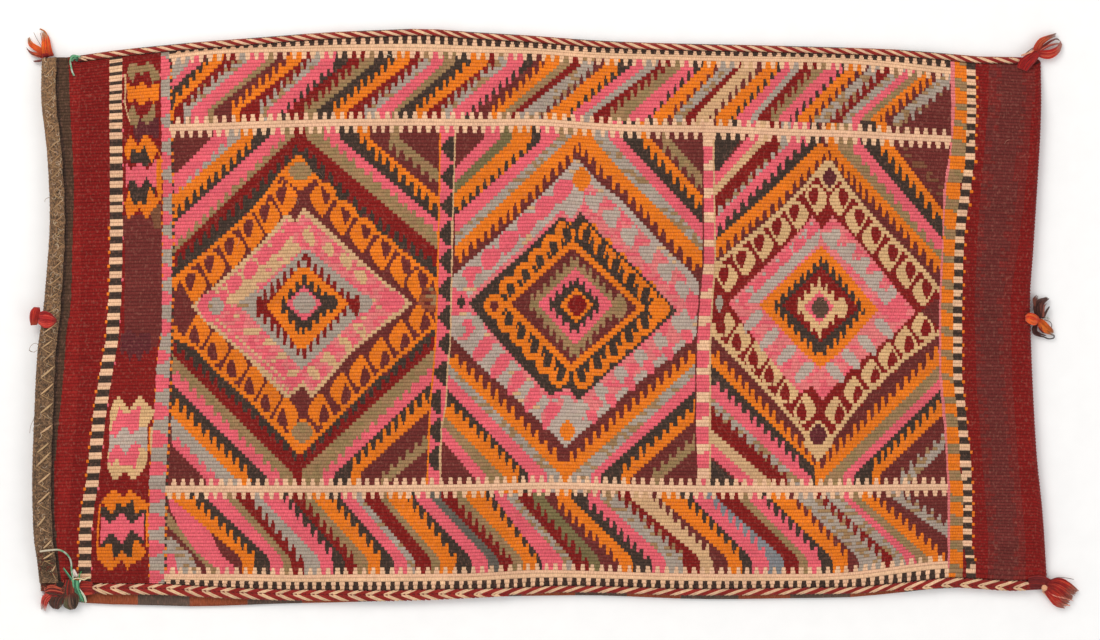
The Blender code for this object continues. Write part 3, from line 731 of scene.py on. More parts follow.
for name, path in (
        ("orange", [(436, 404), (361, 472), (361, 492)]),
        ("black", [(440, 388), (351, 470), (351, 492)]),
        ("pink", [(440, 374), (334, 474), (333, 492)]),
        ("heather", [(440, 357), (323, 470), (323, 492)]),
        ("red", [(440, 343), (302, 470), (302, 492)])):
    Q(name, path, [(299, 492), (299, 306), (440, 306)])
Q("black", [(440, 336), (358, 409), (299, 465)], [(299, 306), (440, 306)])
Q("orange", [(440, 324), (418, 342), (398, 360), (378, 378), (358, 398), (338, 418), (320, 436), (299, 455)], [(299, 306), (440, 306)])
FING("orange", [(440, 388), (351, 470)], True, at=[355, 363, 370, 378, 385, 393, 400, 408, 416, 424], h=8.5, w=4.8)
FING("red", [(440, 336), (358, 409), (299, 465)], True, pitch=8.2, h=6.5, w=5.0, cut=2.0)
FING("heather", [(440, 357), (323, 470)], False, pitch=8.2, h=4.5, w=5.0, cut=2.0)
STRIP("heather", [(380, 492), (381, 478), (428, 436)], [(389, 492), (389, 482), (430, 447)])
FING("heather", [(381, 478), (430, 436)], True, pitch=8.0, h=6.0, w=4.0)

# the orange border: hooks with a plum lens in each
P("maroon", [(299, 159), (317, 181), (338, 204), (360, 222), (380, 238), (400, 254), (420, 270), (434, 284), (437, 300), (433, 322),
             (418, 337), (398, 355), (378, 373), (358, 393), (338, 413), (320, 431), (299, 449), (288, 437), (274, 423), (254, 401),
             (234, 383), (214, 365), (194, 343), (178, 332), (173, 308), (178, 283), (188, 271), (208, 255), (228, 237), (248, 219),
             (264, 201), (280, 178)])


def HOOK(lx, ly, sx, sy, fg="orange", lens="maroon", line="maroon", k=1.0, tilt=0.0):
    def T(pts):
        return [(lx + sx * (a * k + tilt * b), ly + sy * b * k) for a, b in pts]
    P(line, T([(-9, -4), (-4, -16), (5, -15), (12, -10), (17, -3), (18.5, 3), (16, 11), (8, 19), (3, 25), (-2, 20), (-8, 10), (-12, 2)]))
    P(fg, T([(-12, -3), (-8, 4), (-4, 12), (-0.5, 18), (3, 22), (6.5, 18), (11, 12.5), (14.5, 6), (15.5, 1), (13, -4),
             (9, -8.5), (5, -12), (0, -13.5), (-6, -10)]))
    P(lens, T([(2.8, -10.5), (-2.4, -8.5), (-6.2, -3.5), (-5.6, 2), (-2.8, 7), (0, 10.5), (2.0, 5.5), (3.2, 0), (4.6, -6)]))


LEFT_HOOKS = [
    (191, 282, 1, 1), (210, 264, 1, 1), (230, 247, 1, 1), (249, 229, 1, 1), (265, 213, 1, 1), (282, 195, 1, 1),
    (195, 335, 1, -1), (213, 351, 1, -1), (232, 368, 1, -1), (250, 386, 1, -1), (266, 402, 1, -1), (283, 418, 1, -1),
    (325, 195, -1, 1), (345, 214, -1, 1), (365, 231, -1, 1), (385, 249, -1, 1), (405, 266, -1, 1), (422, 281, -1, 1),
    (424, 322, -1, -1), (404, 341, -1, -1), (384, 359, -1, -1), (364, 376, -1, -1), (345, 394, -1, -1), (323, 414, -1, -1),
]
for hook in LEFT_HOOKS:
    HOOK(*hook)
for edge in ([(172, 281), (188, 268), (208, 252), (228, 234), (248, 216), (264, 198), (280, 175), (299, 156)],
             [(299, 156), (317, 179), (338, 201), (360, 219), (380, 235), (400, 251), (420, 267), (438, 282)],
             [(172, 334), (194, 345), (214, 367), (234, 385), (254, 403), (274, 425), (288, 439), (299, 452)],
             [(299, 452), (320, 433), (338, 415), (358, 395), (378, 375), (398, 357), (418, 339), (438, 322)]):
    LINE("orange", edge, 3.6)
P("orange", [(299, 154), (317, 177), (309, 184), (300, 191), (290, 184), (280, 174)])
P("orange", [(299, 456), (319, 437), (311, 424), (303, 418), (294, 424), (284, 438)])
D("heather", 300, 171.5, 12, 10)
D("heather", 302, 432, 11, 11)
P("maroon", [(171, 288), (180, 294), (184, 306), (180, 320), (171, 328)])
D("rustmix", 429, 300, 11, 13)

# beige ring with its mottled inside
P("beige", [(191, 306), (220, 281), (243, 260), (262, 242), (275, 228), (284, 215), (289, 214), (295, 222),
            (303, 207), (320, 222), (342, 242), (362, 261), (382, 279), (400, 293), (412, 303), (402, 313),
            (380, 329), (352, 352), (330, 378), (311, 399), (303, 386), (287, 399), (270, 383), (250, 361),
            (225, 339), (205, 322)])
P("mottlep", [(197, 306), (222, 285), (246, 263), (266, 243), (279, 230), (286, 219), (295, 227), (303, 213),
              (320, 228), (340, 246), (362, 265), (382, 283), (404, 303), (380, 325), (350, 349), (328, 374),
              (311, 392), (303, 381), (288, 393), (270, 377), (250, 356), (224, 334), (203, 318)])
P("mottleb", [(206, 300), (228, 283), (250, 262), (270, 243), (283, 229), (296, 240), (302, 250), (284, 264), (264, 283), (248, 297), (232, 306)])
for x, y, rx, ry in ((234, 285, 7, 9), (250, 271, 7, 9), (264, 257, 7, 9.5), (278, 244, 6.5, 10), (290, 230, 6, 9), (222, 297, 6, 6)):
    LEAF("pink", x, y, rx, ry, 0.30)
for x, y in ((309, 237), (328, 248), (346, 261), (361, 276)):
    LEAF("sand", x, y + 1, 5.6, 8.0, -0.35)
    LEAF("mottleb", x - 1.0, y + 0.5, 4.0, 6.2, -0.35)
for x, y in ((254, 333), (268, 344), (281, 358), (292, 374)):
    LEAF("mottleb", x, y, 5.4, 6.0, 0.4)
    LEAF("pink", x - 2.5, y + 6.0, 3.6, 5.0, 0.4)
for x, y in ((360, 330), (346, 345), (330, 360), (314, 374)):
    LEAF("sand", x, y, 5.6, 7.6, -0.45)
    LEAF("mottleb", x - 0.6, y, 4.0, 6.0, -0.45)
for a, b in (((209, 321), (298, 399)), ((215, 318), (284, 379))):
    LINE("mottleb", [a, b], 2.0, where=["mottlep"])
LINE("mottleb", [(311, 396), (405, 307)], 2.2, where=["mottlep"])
LINE("mottleb", [(306, 216), (404, 300)], 2.2, where=["mottlep"])
D("pink", 392, 302, 13, 12)
D("pink", 212, 306, 15, 15)
D("greytan", 216, 306, 8.5, 9.5)
P("greytan", [(257, 289), (236, 305), (257, 320)])
# grey, red, orange and black spiky rings, pink diamond, grey heart
P("grey", [(250, 300), (303, 250), (309, 250), (372, 302), (309, 363), (301, 369), (246, 312)])
P("red", [(261, 306), (303, 266), (307, 266), (350, 302), (303, 350), (261, 308)])
FING("red", [(258, 306), (303, 264)], True, pitch=6.6, h=8.5, w=4.4, start=1, cut=0)
FING("red", [(307, 264), (350, 302)], True, pitch=6.6, h=8.5, w=4.4, start=1, cut=0)
FING("red", [(258, 308), (303, 352)], False, pitch=6.6, h=8.5, w=4.4, start=1, cut=0)
FING("red", [(303, 352), (350, 302)], False, pitch=6.6, h=8.5, w=4.4, start=1, cut=0)
P("red", [(257, 295), (263, 299), (268, 306), (263, 313), (258, 318), (256, 306)])
P("red", [(359, 295), (352, 298), (346, 304), (352, 312), (357, 317), (360, 306)])
P("red", [(300, 262), (304, 252), (307, 252), (309, 262)])
P("red", [(301, 352), (304, 360), (307, 352)])
D("grey", 366, 303, 6.5, 9)
P("orange", [(266, 306), (300, 266), (306, 266), (349, 303), (304, 349), (299, 349)])
P("black", [(276, 306), (302, 275), (306, 275), (338, 303), (304, 336), (300, 336)])
FING("orange", [(276, 306), (302, 275)], False, pitch=7.0, h=7.0, w=4.0, start=3, cut=0)
FING("orange", [(306, 275), (338, 303)], False, pitch=7.0, h=7.0, w=4.0, start=3, cut=0)
FING("orange", [(276, 306), (302, 338)], True, pitch=7.0, h=7.0, w=4.0, start=3, cut=0)
FING("orange", [(304, 338), (338, 303)], True, pitch=7.0, h=7.0, w=4.0, start=3, cut=0)
D("black", 331, 303, 7, 9)
P("pink", [(285, 303), (304, 286), (322, 303), (304, 322)])
D("grey", 304, 303, 12, 11)

# ---- middle cell
MTc = [(455, 306), (578, 306)]
for name, path in (
        ("pink", [(484, 122), (484, 138), (455, 168)]),
        ("green", [(500, 122), (500, 138), (455, 182)]),
        ("orange", [(512, 122), (512, 140), (455, 193)]),
        ("black", [(532, 122), (531, 141), (455, 206)]),
        ("pink", [(541, 122), (540, 141), (455, 216)]),
        ("greytan", [(560, 122), (559, 136), (455, 234)])):
    Q(name, path, MTc + [(578, 122)])
Q("orange", [(584, 133), (572, 136), (455, 246)], MTc)
Q("maroon", [(579, 144), (524, 198), (455, 258)], MTc)
FING("orange", [(531, 141), (455, 206)], False, pitch=7.2, h=8.0, w=4.6, start=4)
FING("orange", [(579, 144), (524, 198), (455, 258)], False, pitch=7.4, h=8.5, w=4.6, start=4)
MRc = [(700, 306), (578, 306)]
for name, path in (
        ("orange", [(650, 122), (650, 138), (703, 197)]),
        ("black", [(641, 122), (641, 138), (703, 207)]),
        ("pink", [(623, 122), (623, 140), (703, 225)]),
        ("greytan", [(608, 122), (608, 138), (703, 241)])):
    Q(name, path, MRc + [(578, 122)])
Q("orange", [(594, 122), (594, 140), (626, 177), (703, 253)], MRc + [(578, 122)])
Q("maroon", [(579, 144), (602, 169), (626, 191), (654, 221), (681, 250), (703, 269)], MRc)
FING("orange", [(641, 138), (703, 207)], False, pitch=7.4, h=8.0, w=4.6, start=4)
FING("orange", [(579, 144), (602, 169), (626, 191), (654, 221), (681, 250), (703, 269)], False,
     at=[583, 590, 598, 605, 614, 622, 630, 638, 645, 652, 660, 668, 676, 685, 694], h=8.5, w=4.6)
STRIP("heather", [(661, 122), (662, 142), (702, 188)], [(669, 122), (669, 138), (703, 176)])
FING("heather", [(662, 142), (703, 188)], False, pitch=8.0, h=6.0, w=4.0)
MBc = [(570, 306), (447, 306)]
for name, path in (
        ("pink", [(441, 439), (476, 480), (476, 492)]),
        ("heather", [(441, 424), (490, 480), (490, 492)]),
        ("orange", [(441, 413), (505, 478), (505, 492)]),
        ("black", [(441, 399), (518, 474), (518, 492)]),
        ("pink", [(443, 385), (528, 474), (528, 492)]),
        ("greytan", [(445, 372), (547, 474), (547, 492)]),
        ("orange", [(446, 362), (560, 474), (560, 492)])):
    Q(name, path, [(566, 492), (566, 306), (447, 306)])
Q("maroon", [(446, 351), (560, 462), (566, 468)], [(566, 306), (446, 306)])
FING("orange", [(441, 399), (518, 474)], True, pitch=7.2, h=8.0, w=4.6, start=4)
FING("orange", [(446, 351), (562, 463)], True, at=[456, 464, 472, 480, 488, 496, 504, 512, 521, 528, 536, 545, 554], h=8.5, w=4.6)
for name, path in (
        ("orange", [(699, 416), (630, 478), (629, 492)]),
        ("black", [(699, 405), (621, 474), (620, 492)]),
        ("pink", [(699, 387), (601, 474), (600, 492)]),
        ("greytan", [(699, 371), (591, 474), (590, 492)]),
        ("orange", [(699, 360), (572, 474), (571, 492)])):
    Q(name, path, [(562, 492), (562, 306), (699, 306)])
Q("maroon", [(699, 350), (570, 462), (565, 468), (560, 460)], [(560, 306), (699, 306)])
FING("orange", [(699, 405), (621, 474)], True, pitch=7.8, h=8.0, w=4.6, start=4)
FING("orange", [(699, 350), (568, 464)], True, at=[572, 579, 587, 595, 603, 611, 618, 626, 634, 642, 650, 658, 666, 674, 682, 690], h=8.5, w=4.6)
P("orange", [(559, 460), (572, 460), (570, 492), (560, 492)])
STRIP("heather", [(651, 492), (652, 476), (696, 436)], [(660, 492), (660, 480), (698, 446)])
FING("heather", [(652, 476), (698, 436)], True, pitch=8.0, h=6.0, w=4.0)

# beige ring, its mottle, then the black diamond with orange hooks
P("ash", [(577, 158), (598, 182), (620, 199), (644, 225), (668, 251), (689, 270), (699, 284), (699, 336), (690, 340),
          (663, 363), (635, 385), (607, 411), (583, 431), (565, 448), (554, 435), (533, 415), (506, 389), (478, 364),
          (455, 340), (452, 337), (452, 277), (468, 262), (496, 238), (524, 211), (552, 184)])
P("wing", [(586, 180), (598, 191), (620, 208), (644, 234), (668, 260), (688, 279), (694, 300), (684, 310), (663, 299), (607, 243), (580, 215)])
P("wing", [(692, 332), (663, 354), (635, 376), (607, 402), (583, 422), (577, 408), (674, 318)])
P("wing", [(462, 303), (503, 264), (533, 238), (562, 209), (571, 220), (580, 206), (607, 236), (635, 262), (663, 291), (683, 311),
           (578, 407), (568, 394), (550, 401), (464, 306)])
for x, y in ((562, 191), (544, 208), (526, 225), (508, 242), (490, 259), (471, 277)):
    LEAF("pink", x, y, 9.4, 12.2, 0.26)
for x, y in ((592.6, 203), (610, 219.6), (627.8, 238), (646.3, 254.8), (664.8, 273.3), (682.4, 291)):
    LEAF("lgrey", x, y, 6.6, 9.6, -0.3)
    LEAF("lgrey", x + 7.0, y - 6.5, 3.2, 5.6, -0.3)
for x, y in ((467.6, 328), (485, 347), (502, 364), (518.5, 379.5), (535, 395.5), (552, 411)):
    LEAF("wing", x - 4.0, y + 5.5, 7.6, 8.4, 0.3)
    LEAF("pink", x, y, 7.6, 10.2, 0.3)
    LEAF("wing", x + 7.6, y - 6.6, 3.6, 5.4, 0.3)
for x, y in ((678.7, 325), (661, 343), (641.5, 359.3), (621.6, 376), (602, 393.4), (583, 410)):
    LEAF("lgrey", x, y, 6.6, 9.4, -0.3)
    LEAF("lgrey", x + 6.5, y + 6.5, 3.0, 5.2, -0.3)
for x, y in ((687, 337), (668, 353), (649, 368), (630, 384), (611, 400), (592, 416)):
    LEAF("pink", x, y, 5.4, 7.6, -0.3)
for x, y in ((476, 354), (494, 373), (511, 390), (528, 406), (546, 424)):
    LEAF("pink", x, y, 4.0, 6.0, 0.3)
LEAF("pink", 692, 306, 6.6, 13, 0)
D("orange", 581.5, 179, 9.5, 12)
D("orange", 567, 431, 8, 10.5)
P("pink", [(452, 288), (466, 292), (470, 302), (466, 312), (452, 316)])
D("black", 461, 302, 4.5, 6)
for x, y in ((462, 283), (478, 280), (460, 330), (478, 322)):
    D("grey", x, y, 6, 6.5)
D("pink", 470, 278, 5, 6)
P("black", [(470, 303), (503.7, 271.5), (533, 245.6), (562, 217), (571, 228), (580, 214), (607, 243.7), (635, 269.6), (663, 298), (675, 311),
            (636, 347), (607, 372), (578, 399), (568.5, 386), (550, 393.6), (520, 363), (490, 329)])


def SHOOK(lx, ly, sx, sy, fg="orange", lens="black"):
    def T(pts):
        return [(lx + sx * (a * 1.2 + 1.5), ly + sy * (b * 1.2 - 1.5)) for a, b in pts]
    # a round hook with a comma in it, on the line round the maroon diamond
    P(fg, T([(-8, 1), (-7.5, -5), (-4, -9.5), (1, -10.5), (6, -9), (9, -4), (9, 2), (6, 5), (3.5, 2), (2, 6), (0, 9), (-3, 10), (-6, 7)]))
    P(lens, T([(2.5, -5), (-0.5, -6), (-3.8, -3), (-5.0, 3), (-7.5, 9), (-5, 12.5), (-0.5, 9.5), (1.4, 4), (2.8, -1)]))


for x, y in ((586, 236), (601, 251), (615.5, 265.5), (630.6, 280.5), (645, 295)):
    SHOOK(x, y, 1, 1)
for x, y in ((567, 235), (553.7, 248.5), (540, 262.5), (526, 277), (511, 291)):
    SHOOK(x, y, -1, 1)
for x, y in ((509, 318.5), (521.5, 331.5), (534.3, 346), (547.5, 360), (561, 373)):
    SHOOK(x, y, -1, -1)
for x, y in ((644.4, 321), (628.5, 335), (613, 348.5), (597, 362), (581, 374.5)):
    SHOOK(x, y, 1, -1)
LINE("black", [(470, 303), (503.7, 271.5), (533, 245.6), (562, 217), (571, 228), (580, 214), (607, 243.7), (635, 269.6), (663, 298),
               (675, 311), (636, 347), (607, 372), (578, 399), (568.5, 386), (550, 393.6), (520, 363), (490, 329), (470, 303)], 2.6)
D("orange", 494.5, 305.5, 11.5, 13)
D("maroon", 494, 305.5, 4.5, 6)
D("orange", 659, 309, 11, 13)
P("orange", [(502, 304), (572, 239), (646, 308), (571, 373)])
P("maroon", [(510.5, 304), (572, 247.5), (637.5, 308), (571, 363.5)])
P("heather", [(530, 304), (574.5, 261.5), (618, 304), (574.5, 353)])
FING("heather", [(530, 304), (574.5, 261.5)], True, pitch=6.6, h=6.5, w=4.4, start=2, cut=0)
FING("heather", [(574.5, 261.5), (618, 304)], True, pitch=6.6, h=6.5, w=4.4, start=2, cut=0)
FING("heather", [(530, 304), (574.5, 353)], False, pitch=6.6, h=6.5, w=4.4, start=2, cut=0)
FING("heather", [(574.5, 353), (618, 304)], False, pitch=6.6, h=6.5, w=4.4, start=2, cut=0)
D("heather", 619, 307, 8, 13)
P("pink", [(537, 304), (575, 268), (613, 304), (575, 345)])
P("black", [(549, 304), (575, 281), (600, 304), (575, 330)])
FING("black", [(549, 304), (575, 281)], True, pitch=6.5, h=6, w=3.6, start=2, cut=0)
FING("black", [(575, 281), (600, 304)], True, pitch=6.5, h=6, w=3.6, start=2, cut=0)
FING("black", [(549, 304), (575, 330)], False, pitch=6.5, h=6, w=3.6, start=2, cut=0)
FING("black", [(575, 330), (600, 304)], False, pitch=6.5, h=6, w=3.6, start=2, cut=0)
P("orange", [(559, 305), (576, 288), (593, 305), (576, 323)])
D("red", 577, 305, 10, 11)

# ---- right cell
R("maroon", 712, 944, 126, 490)
RLc = [(710, 306), (826, 306)]
Q("black", [(712, 126), (750, 126), (712, 180)], [])
for name, path in (
        ("pink", [(749, 122), (748, 136), (712, 178)]),
        ("beige", [(760, 122), (759, 138), (712, 189)]),
        ("red", [(769, 122), (768, 139), (712, 199)]),
        ("greytan", [(781, 122), (780, 144), (712, 213)]),
        ("pink", [(791, 122), (790, 142), (712, 222)]),
        ("black", [(810, 122), (808, 136), (712, 232)])):
    Q(name, path, RLc + [(826, 122)])
Q("orange", [(828, 138), (820, 142), (768, 193), (712, 243)], RLc)
Q("maroon", [(829, 151), (772, 205), (712, 254)], RLc)
FING("red", [(780, 144), (712, 213)], False, pitch=7.6, h=6.5, w=4.6, cut=2.0)
FING("pink", [(808, 136), (712, 232)], False, pitch=7.5, h=7.0, w=4.6, cut=3.0)
FING("orange", [(829, 151), (772, 205), (712, 254)], False, pitch=7.4, h=8.0, w=4.6, start=4)
RRc = [(942, 306), (826, 306)]
for name, path in (
        ("orange", [(886, 122), (887, 138), (943, 211)]),
        ("black", [(876, 122), (876, 138), (943, 220)]),
        ("pink", [(860, 122), (860, 142), (943, 240)]),
        ("heather", [(853, 122), (853, 148), (943, 253)]),
        ("orange", [(834, 122), (836, 148), (943, 262)])):
    Q(name, path, RRc + [(826, 122)])
Q("maroon", [(829, 152), (943, 272)], RRc)
P("orange", [(828, 122), (836, 122), (838, 150), (831, 156), (828, 150)])
P("maroon", [(818, 122), (826, 122), (828, 150), (822, 144)])
FING("orange", [(876, 138), (943, 220)], False, at=[883, 890, 897, 904, 911, 918, 926, 934], h=8.0, w=4.6)
FING("orange", [(829, 152), (943, 272)], False, at=[833, 840, 846, 852, 858, 864, 870, 877, 884, 891, 898, 905, 912, 920, 928, 935], h=8.5, w=4.6)
FING("pink", [(853, 148), (943, 253)], False, pitch=8.0, h=5.0, w=5.0, cut=2.0)
STRIP("faint", [(902, 122), (903, 152), (943, 200)], [(911, 122), (911, 148), (943, 186)])
FING("faint", [(903, 152), (943, 200)], False, pitch=8.0, h=6.0, w=4.0, cut=0)
for name, path in (
        ("pink", [(709, 455), (746, 488), (746, 492)]),
        ("beige", [(709, 441), (757, 484), (757, 492)]),
        ("red", [(709, 428), (772, 482), (772, 492)]),
        ("greytan", [(709, 409), (787, 480), (787, 492)]),
        ("pink", [(709, 395), (804, 484), (804, 492)]),
        ("black", [(709, 381), (812, 478), (815, 492)]),
        ("orange", [(709, 363), (815, 468), (815, 492)])):
    Q(name, path, [(822, 492), (822, 306), (709, 306)])
P("black", [(709, 457), (744, 489), (744, 492), (709, 492)])
Q("maroon", [(709, 351), (812, 460), (820, 474)], [(822, 306), (709, 306)])
FING("orange", [(709, 351), (814, 462)], True, at=[717, 725, 732, 739, 746, 752, 759, 766, 773, 781, 788, 795, 802, 809], h=8.5, w=4.6)
FING("pink", [(709, 381), (808, 475)], True, at=[717, 725, 732, 739, 747, 754, 761, 768, 775, 782, 789, 796], h=7.0, w=4.2, cut=3.0)
FING("red", [(709, 409), (787, 480)], True, pitch=8.0, h=6.0, w=4.6, cut=2.0)
for name, path in (
        ("orange", [(943, 414), (880, 474), (880, 492)]),
        ("black", [(943, 402), (872, 470), (872, 492)]),
        ("pink", [(943, 387), (854, 474), (853, 492)]),
        ("heather", [(943, 375), (843, 474), (843, 492)]),
        ("orange", [(943, 361), (824, 478), (824, 492)])):
    Q(name, path, [(816, 492), (816, 306), (943, 306)])
Q("maroon", [(943, 348), (826, 462), (820, 474)], [(816, 306), (943, 306)])
FING("orange", [(943, 402), (872, 470)], True, at=[876, 883, 889, 895, 902, 909, 917, 924, 931, 938], h=8.0, w=4.6)
FING("orange", [(943, 348), (824, 464)], True, at=[828, 834, 841, 848, 855, 862, 869, 876, 883, 890, 898, 906, 913, 920, 928, 936], h=8.5, w=4.6)
P("orange", [(814, 468), (824, 468), (822, 492), (816, 492)])
STRIP("greytan", [(900, 492), (900, 478), (943, 438)], [(908, 492), (908, 484), (944, 449)])
FING("greytan", [(900, 478), (944, 438)], True, pitch=8.0, h=6.0, w=4.0)

# cream line diamond on a red border with cream hooks
RIGHT_EDGES = (
    [(827, 161), (805, 187), (782, 210), (759, 230), (732, 251), (712, 269)],
    [(829, 161), (848, 189), (866, 211), (884, 231), (907, 253), (925, 273), (942, 294)],
    [(711, 332), (742, 364), (774, 398), (803, 431), (818, 457)],
    [(942, 330), (902, 360), (865, 394), (833, 436), (818, 457)],
)
P("dred", RIGHT_EDGES[1] + RIGHT_EDGES[3] + RIGHT_EDGES[2][::-1] + RIGHT_EDGES[0][::-1])


def RHOOK(lx, ly, sx, sy):
    """A cream hook: an arm down each side of a large red comma."""
    def T(pts):
        return [(lx + sx * a, ly + sy * b) for a, b in pts]
    P("dred", T([(-9, -3), (-5, -13), (3, -14), (10, -10), (15, -4), (17, 2), (15, 9), (8, 17), (3, 21), (-2, 17), (-7, 9), (-10, 2)]))
    P("sand", T([(-10, -2), (-7, 4), (-3.4, 10), (0, 15), (2.8, 18.5), (6, 15.5), (10, 10.5), (13, 5), (14, 0.5), (11.5, -4),
                 (8, -8), (4.5, -11), (0, -12.5), (-5, -9.5)]))
    P("dred", T([(3.0, -9.5), (-2.2, -8.0), (-6.0, -3.2), (-5.6, 1.6), (-3.0, 6.6), (-0.4, 10.2), (1.8, 7.0), (3.4, 2.6), (4.6, -3.2)]))


for hook in ((814, 196.6, 1, 1), (794.5, 212.5, 1, 1), (777, 227.5, 1, 1), (759.5, 243, 1, 1), (741.6, 258.5, 1, 1), (724, 275, 1, 1),
             (842.5, 198, -1, 1), (858.5, 217, -1, 1), (875, 235.5, -1, 1), (892, 253.5, -1, 1), (909.5, 271, -1, 1), (926, 289, -1, 1),
             (721, 326, 1, -1), (737, 341.5, 1, -1), (753.5, 358, 1, -1), (769.5, 375, 1, -1), (785.5, 392.5, 1, -1), (802, 411, 1, -1),
             (925, 328, -1, -1), (908, 344, -1, -1), (891.5, 360, -1, -1), (874.5, 376.5, -1, -1), (857, 394, -1, -1), (838.5, 414, -1, -1)):
    RHOOK(*hook)
for edge in RIGHT_EDGES:
    LINE("sand", edge, 4.2)
P("sand", [(828, 159), (840, 172), (837, 184), (829, 193), (821, 184), (817, 172)])
P("sand", [(818, 461), (833, 444), (827, 428), (818, 419), (809, 428), (803, 444)])
D("plum", 829.3, 177.6, 7.0, 9.5)
D("plum", 817.8, 435, 9, 11)
P("dred", [(711, 286), (726, 300), (728, 306), (724, 318), (711, 324)])
D("grey", 719, 303, 4, 9)
P("maroon", [(920, 312), (934, 300), (943, 298), (943, 328), (934, 324)])

# grey-pink mottle with its lobes, orange ring, black and red rings, heart
P("wing", [(728, 303), (748, 283), (768, 263), (788, 243), (804, 226), (812, 216), (822, 229), (832, 216), (848, 231),
           (864, 249), (882, 271), (900, 294), (916, 312), (896, 332), (874, 350), (852, 368), (836, 384), (822, 400),
           (812, 386), (800, 393), (784, 376), (766, 354), (748, 330)])
P("lgrey", [(733, 303), (748, 288), (768, 268), (788, 248), (804, 231), (812, 221), (820, 231), (818, 244), (800, 262), (776, 286), (758, 303)])
for x, y in ((744, 299), (758.6, 284), (771.5, 271), (785, 258), (798.5, 245), (812, 231)):
    LEAF("pink", x, y, 5.6, 8.0, 0.5)
for x, y in ((830, 241), (845, 254), (859, 268), (872, 283), (886, 299)):
    LEAF("lgrey", x, y, 6.6, 9.6, -0.45)
    LEAF("lgrey", x + 6.4, y - 7.0, 4.2, 5.6, -0.3)
for x, y in ((754, 320), (770, 338), (787, 354), (805, 371)):
    LEAF("lgrey", x, y, 6.6, 9.2, 0.5)
    LEAF("lgrey", x - 6.0, y + 6.0, 4.6, 6.4, 0.4)
for x, y in ((834, 372), (850, 359), (866, 344), (883, 328)):
    LEAF("lgrey", x, y, 6.4, 9.2, -0.5)
    LEAF("lgrey", x + 5.6, y + 5.6, 4.4, 6.0, -0.4)
D("pink", 896, 310, 11, 13)
P("orange", [(759, 305), (800, 265), (821, 246), (840, 265), (878, 310), (840, 352), (820, 368), (800, 350)])
P("black", [(770, 306), (802, 274), (822, 256), (838, 273), (868, 310), (838, 344), (820, 360), (802, 342)])
FING("orange", [(770, 306), (821, 256)], False, pitch=6.4, h=6, w=3.8, start=2, cut=0)
FING("orange", [(822, 256), (868, 310)], False, pitch=6.4, h=6, w=3.8, start=2, cut=0)
FING("orange", [(770, 306), (820, 360)], True, pitch=6.4, h=6, w=3.8, start=2, cut=0)
FING("orange", [(820, 360), (868, 310)], True, pitch=6.4, h=6, w=3.8, start=2, cut=0)
P("red", [(782, 305), (821, 267), (859, 308), (820, 342)])
P("sand", [(797, 306), (818, 284), (842, 308), (818, 334)])
FING("sand", [(797, 306), (818, 284)], True, pitch=6.5, h=7, w=3.6, start=2, cut=0)
FING("sand", [(818, 284), (840, 306)], True, pitch=6.5, h=7, w=3.6, start=1, cut=0)
FING("sand", [(797, 306), (818, 330)], False, pitch=6.5, h=7, w=3.6, start=2, cut=0)
FING("sand", [(818, 330), (840, 308)], False, pitch=6.5, h=7, w=3.6, start=1, cut=0)
P("sand", [(834, 301), (844, 298), (848, 308), (844, 318), (834, 315)])
P("pink", [(803, 307), (819, 291), (834, 307), (819, 324)])
D("brown", 820, 308, 9, 11)

# ---- the two columns between the cells
def column(colour, table, where=None):
    left = [(a, y) for y, a, b in table]
    right = [(b, y) for y, a, b in table]
    P(colour, left + right[::-1], where)


COL1 = [(122, 440, 457), (200, 439, 453), (300, 438, 450), (345, 436, 450), (370, 434, 447),
        (400, 431, 446), (430, 430, 441), (492, 427, 440)]
column("pink", COL1)
for x, y in ((449, 148), (449, 177), (449, 206), (446, 234), (447, 261), (446, 290), (446, 317), (446, 344), (442, 373), (436, 402), (436, 431), (434, 459)):
    P("black", [(x - 9, y), (x + 1, y - 12), (x + 5, y - 13), (x + 5, y + 13), (x + 1, y + 12)])
LINE("orange", [(440, 132), (439, 200), (437, 300), (435, 345), (433, 372), (430, 402), (429, 430), (427, 484)], 1.8)
LINE("beige", [(455, 134), (453, 200), (451, 300), (450, 345), (447, 372), (446, 402), (441, 430), (440, 484)], 1.6)
COL2 = [(122, 702, 712), (200, 703, 713), (260, 703, 714), (300, 699, 711), (340, 696, 709),
        (380, 696, 709), (430, 695, 708), (492, 697, 709)]
column("cream", COL2)
y = 146.0
while y < 484:
    a = np.interp(y, [t[0] for t in COL2], [t[1] for t in COL2])
    P("pink", [(a - 1, y), (a + 13, y - 1), (a + 13, y + 15), (a - 1, y + 17)])
    y += 25.6
LINE("beige", [(713, 134), (714, 200), (715, 260), (712, 300), (710, 345), (710, 430), (710, 484)], 1.8)
LINE("maroon", [(702, 134), (703, 200), (703, 260), (699, 300), (696, 345), (695, 430), (697, 484)], 1.5)

# =============================================================== left columns
COLG = [(40, 160, 169), (57, 160, 169), (200, 163, 172), (270, 163, 172), (330, 162, 171), (360, 157, 170), (400, 155, 169),
        (450, 151, 167), (480, 149.5, 165.5), (550, 148.6, 164), (600, 149, 164)]
column("grey", COLG)
for y0, y1 in ((57, 79), (97, 115), (127, 141), (154, 168), (181, 196), (212, 225), (237, 250), (265, 278), (292, 305), (321, 334),
               (351, 362), (376, 390), (404, 419), (432, 447), (461, 476), (489, 502), (514, 529), (541, 555), (571, 583)):
    ya = (y0 + y1) / 2
    a = np.interp(ya, [t[0] for t in COLG], [t[1] for t in COLG])
    b = np.interp(ya, [t[0] for t in COLG], [t[2] for t in COLG])
    w = b - a
    P("pink", [(a, y0 - 1), (a + 0.45 * w, y0 - 1), (b + 0.5, y0 + 4.5), (b + 0.5, y1 - 4.5), (a + 0.45 * w, y1 + 1), (a, y1 + 1)])
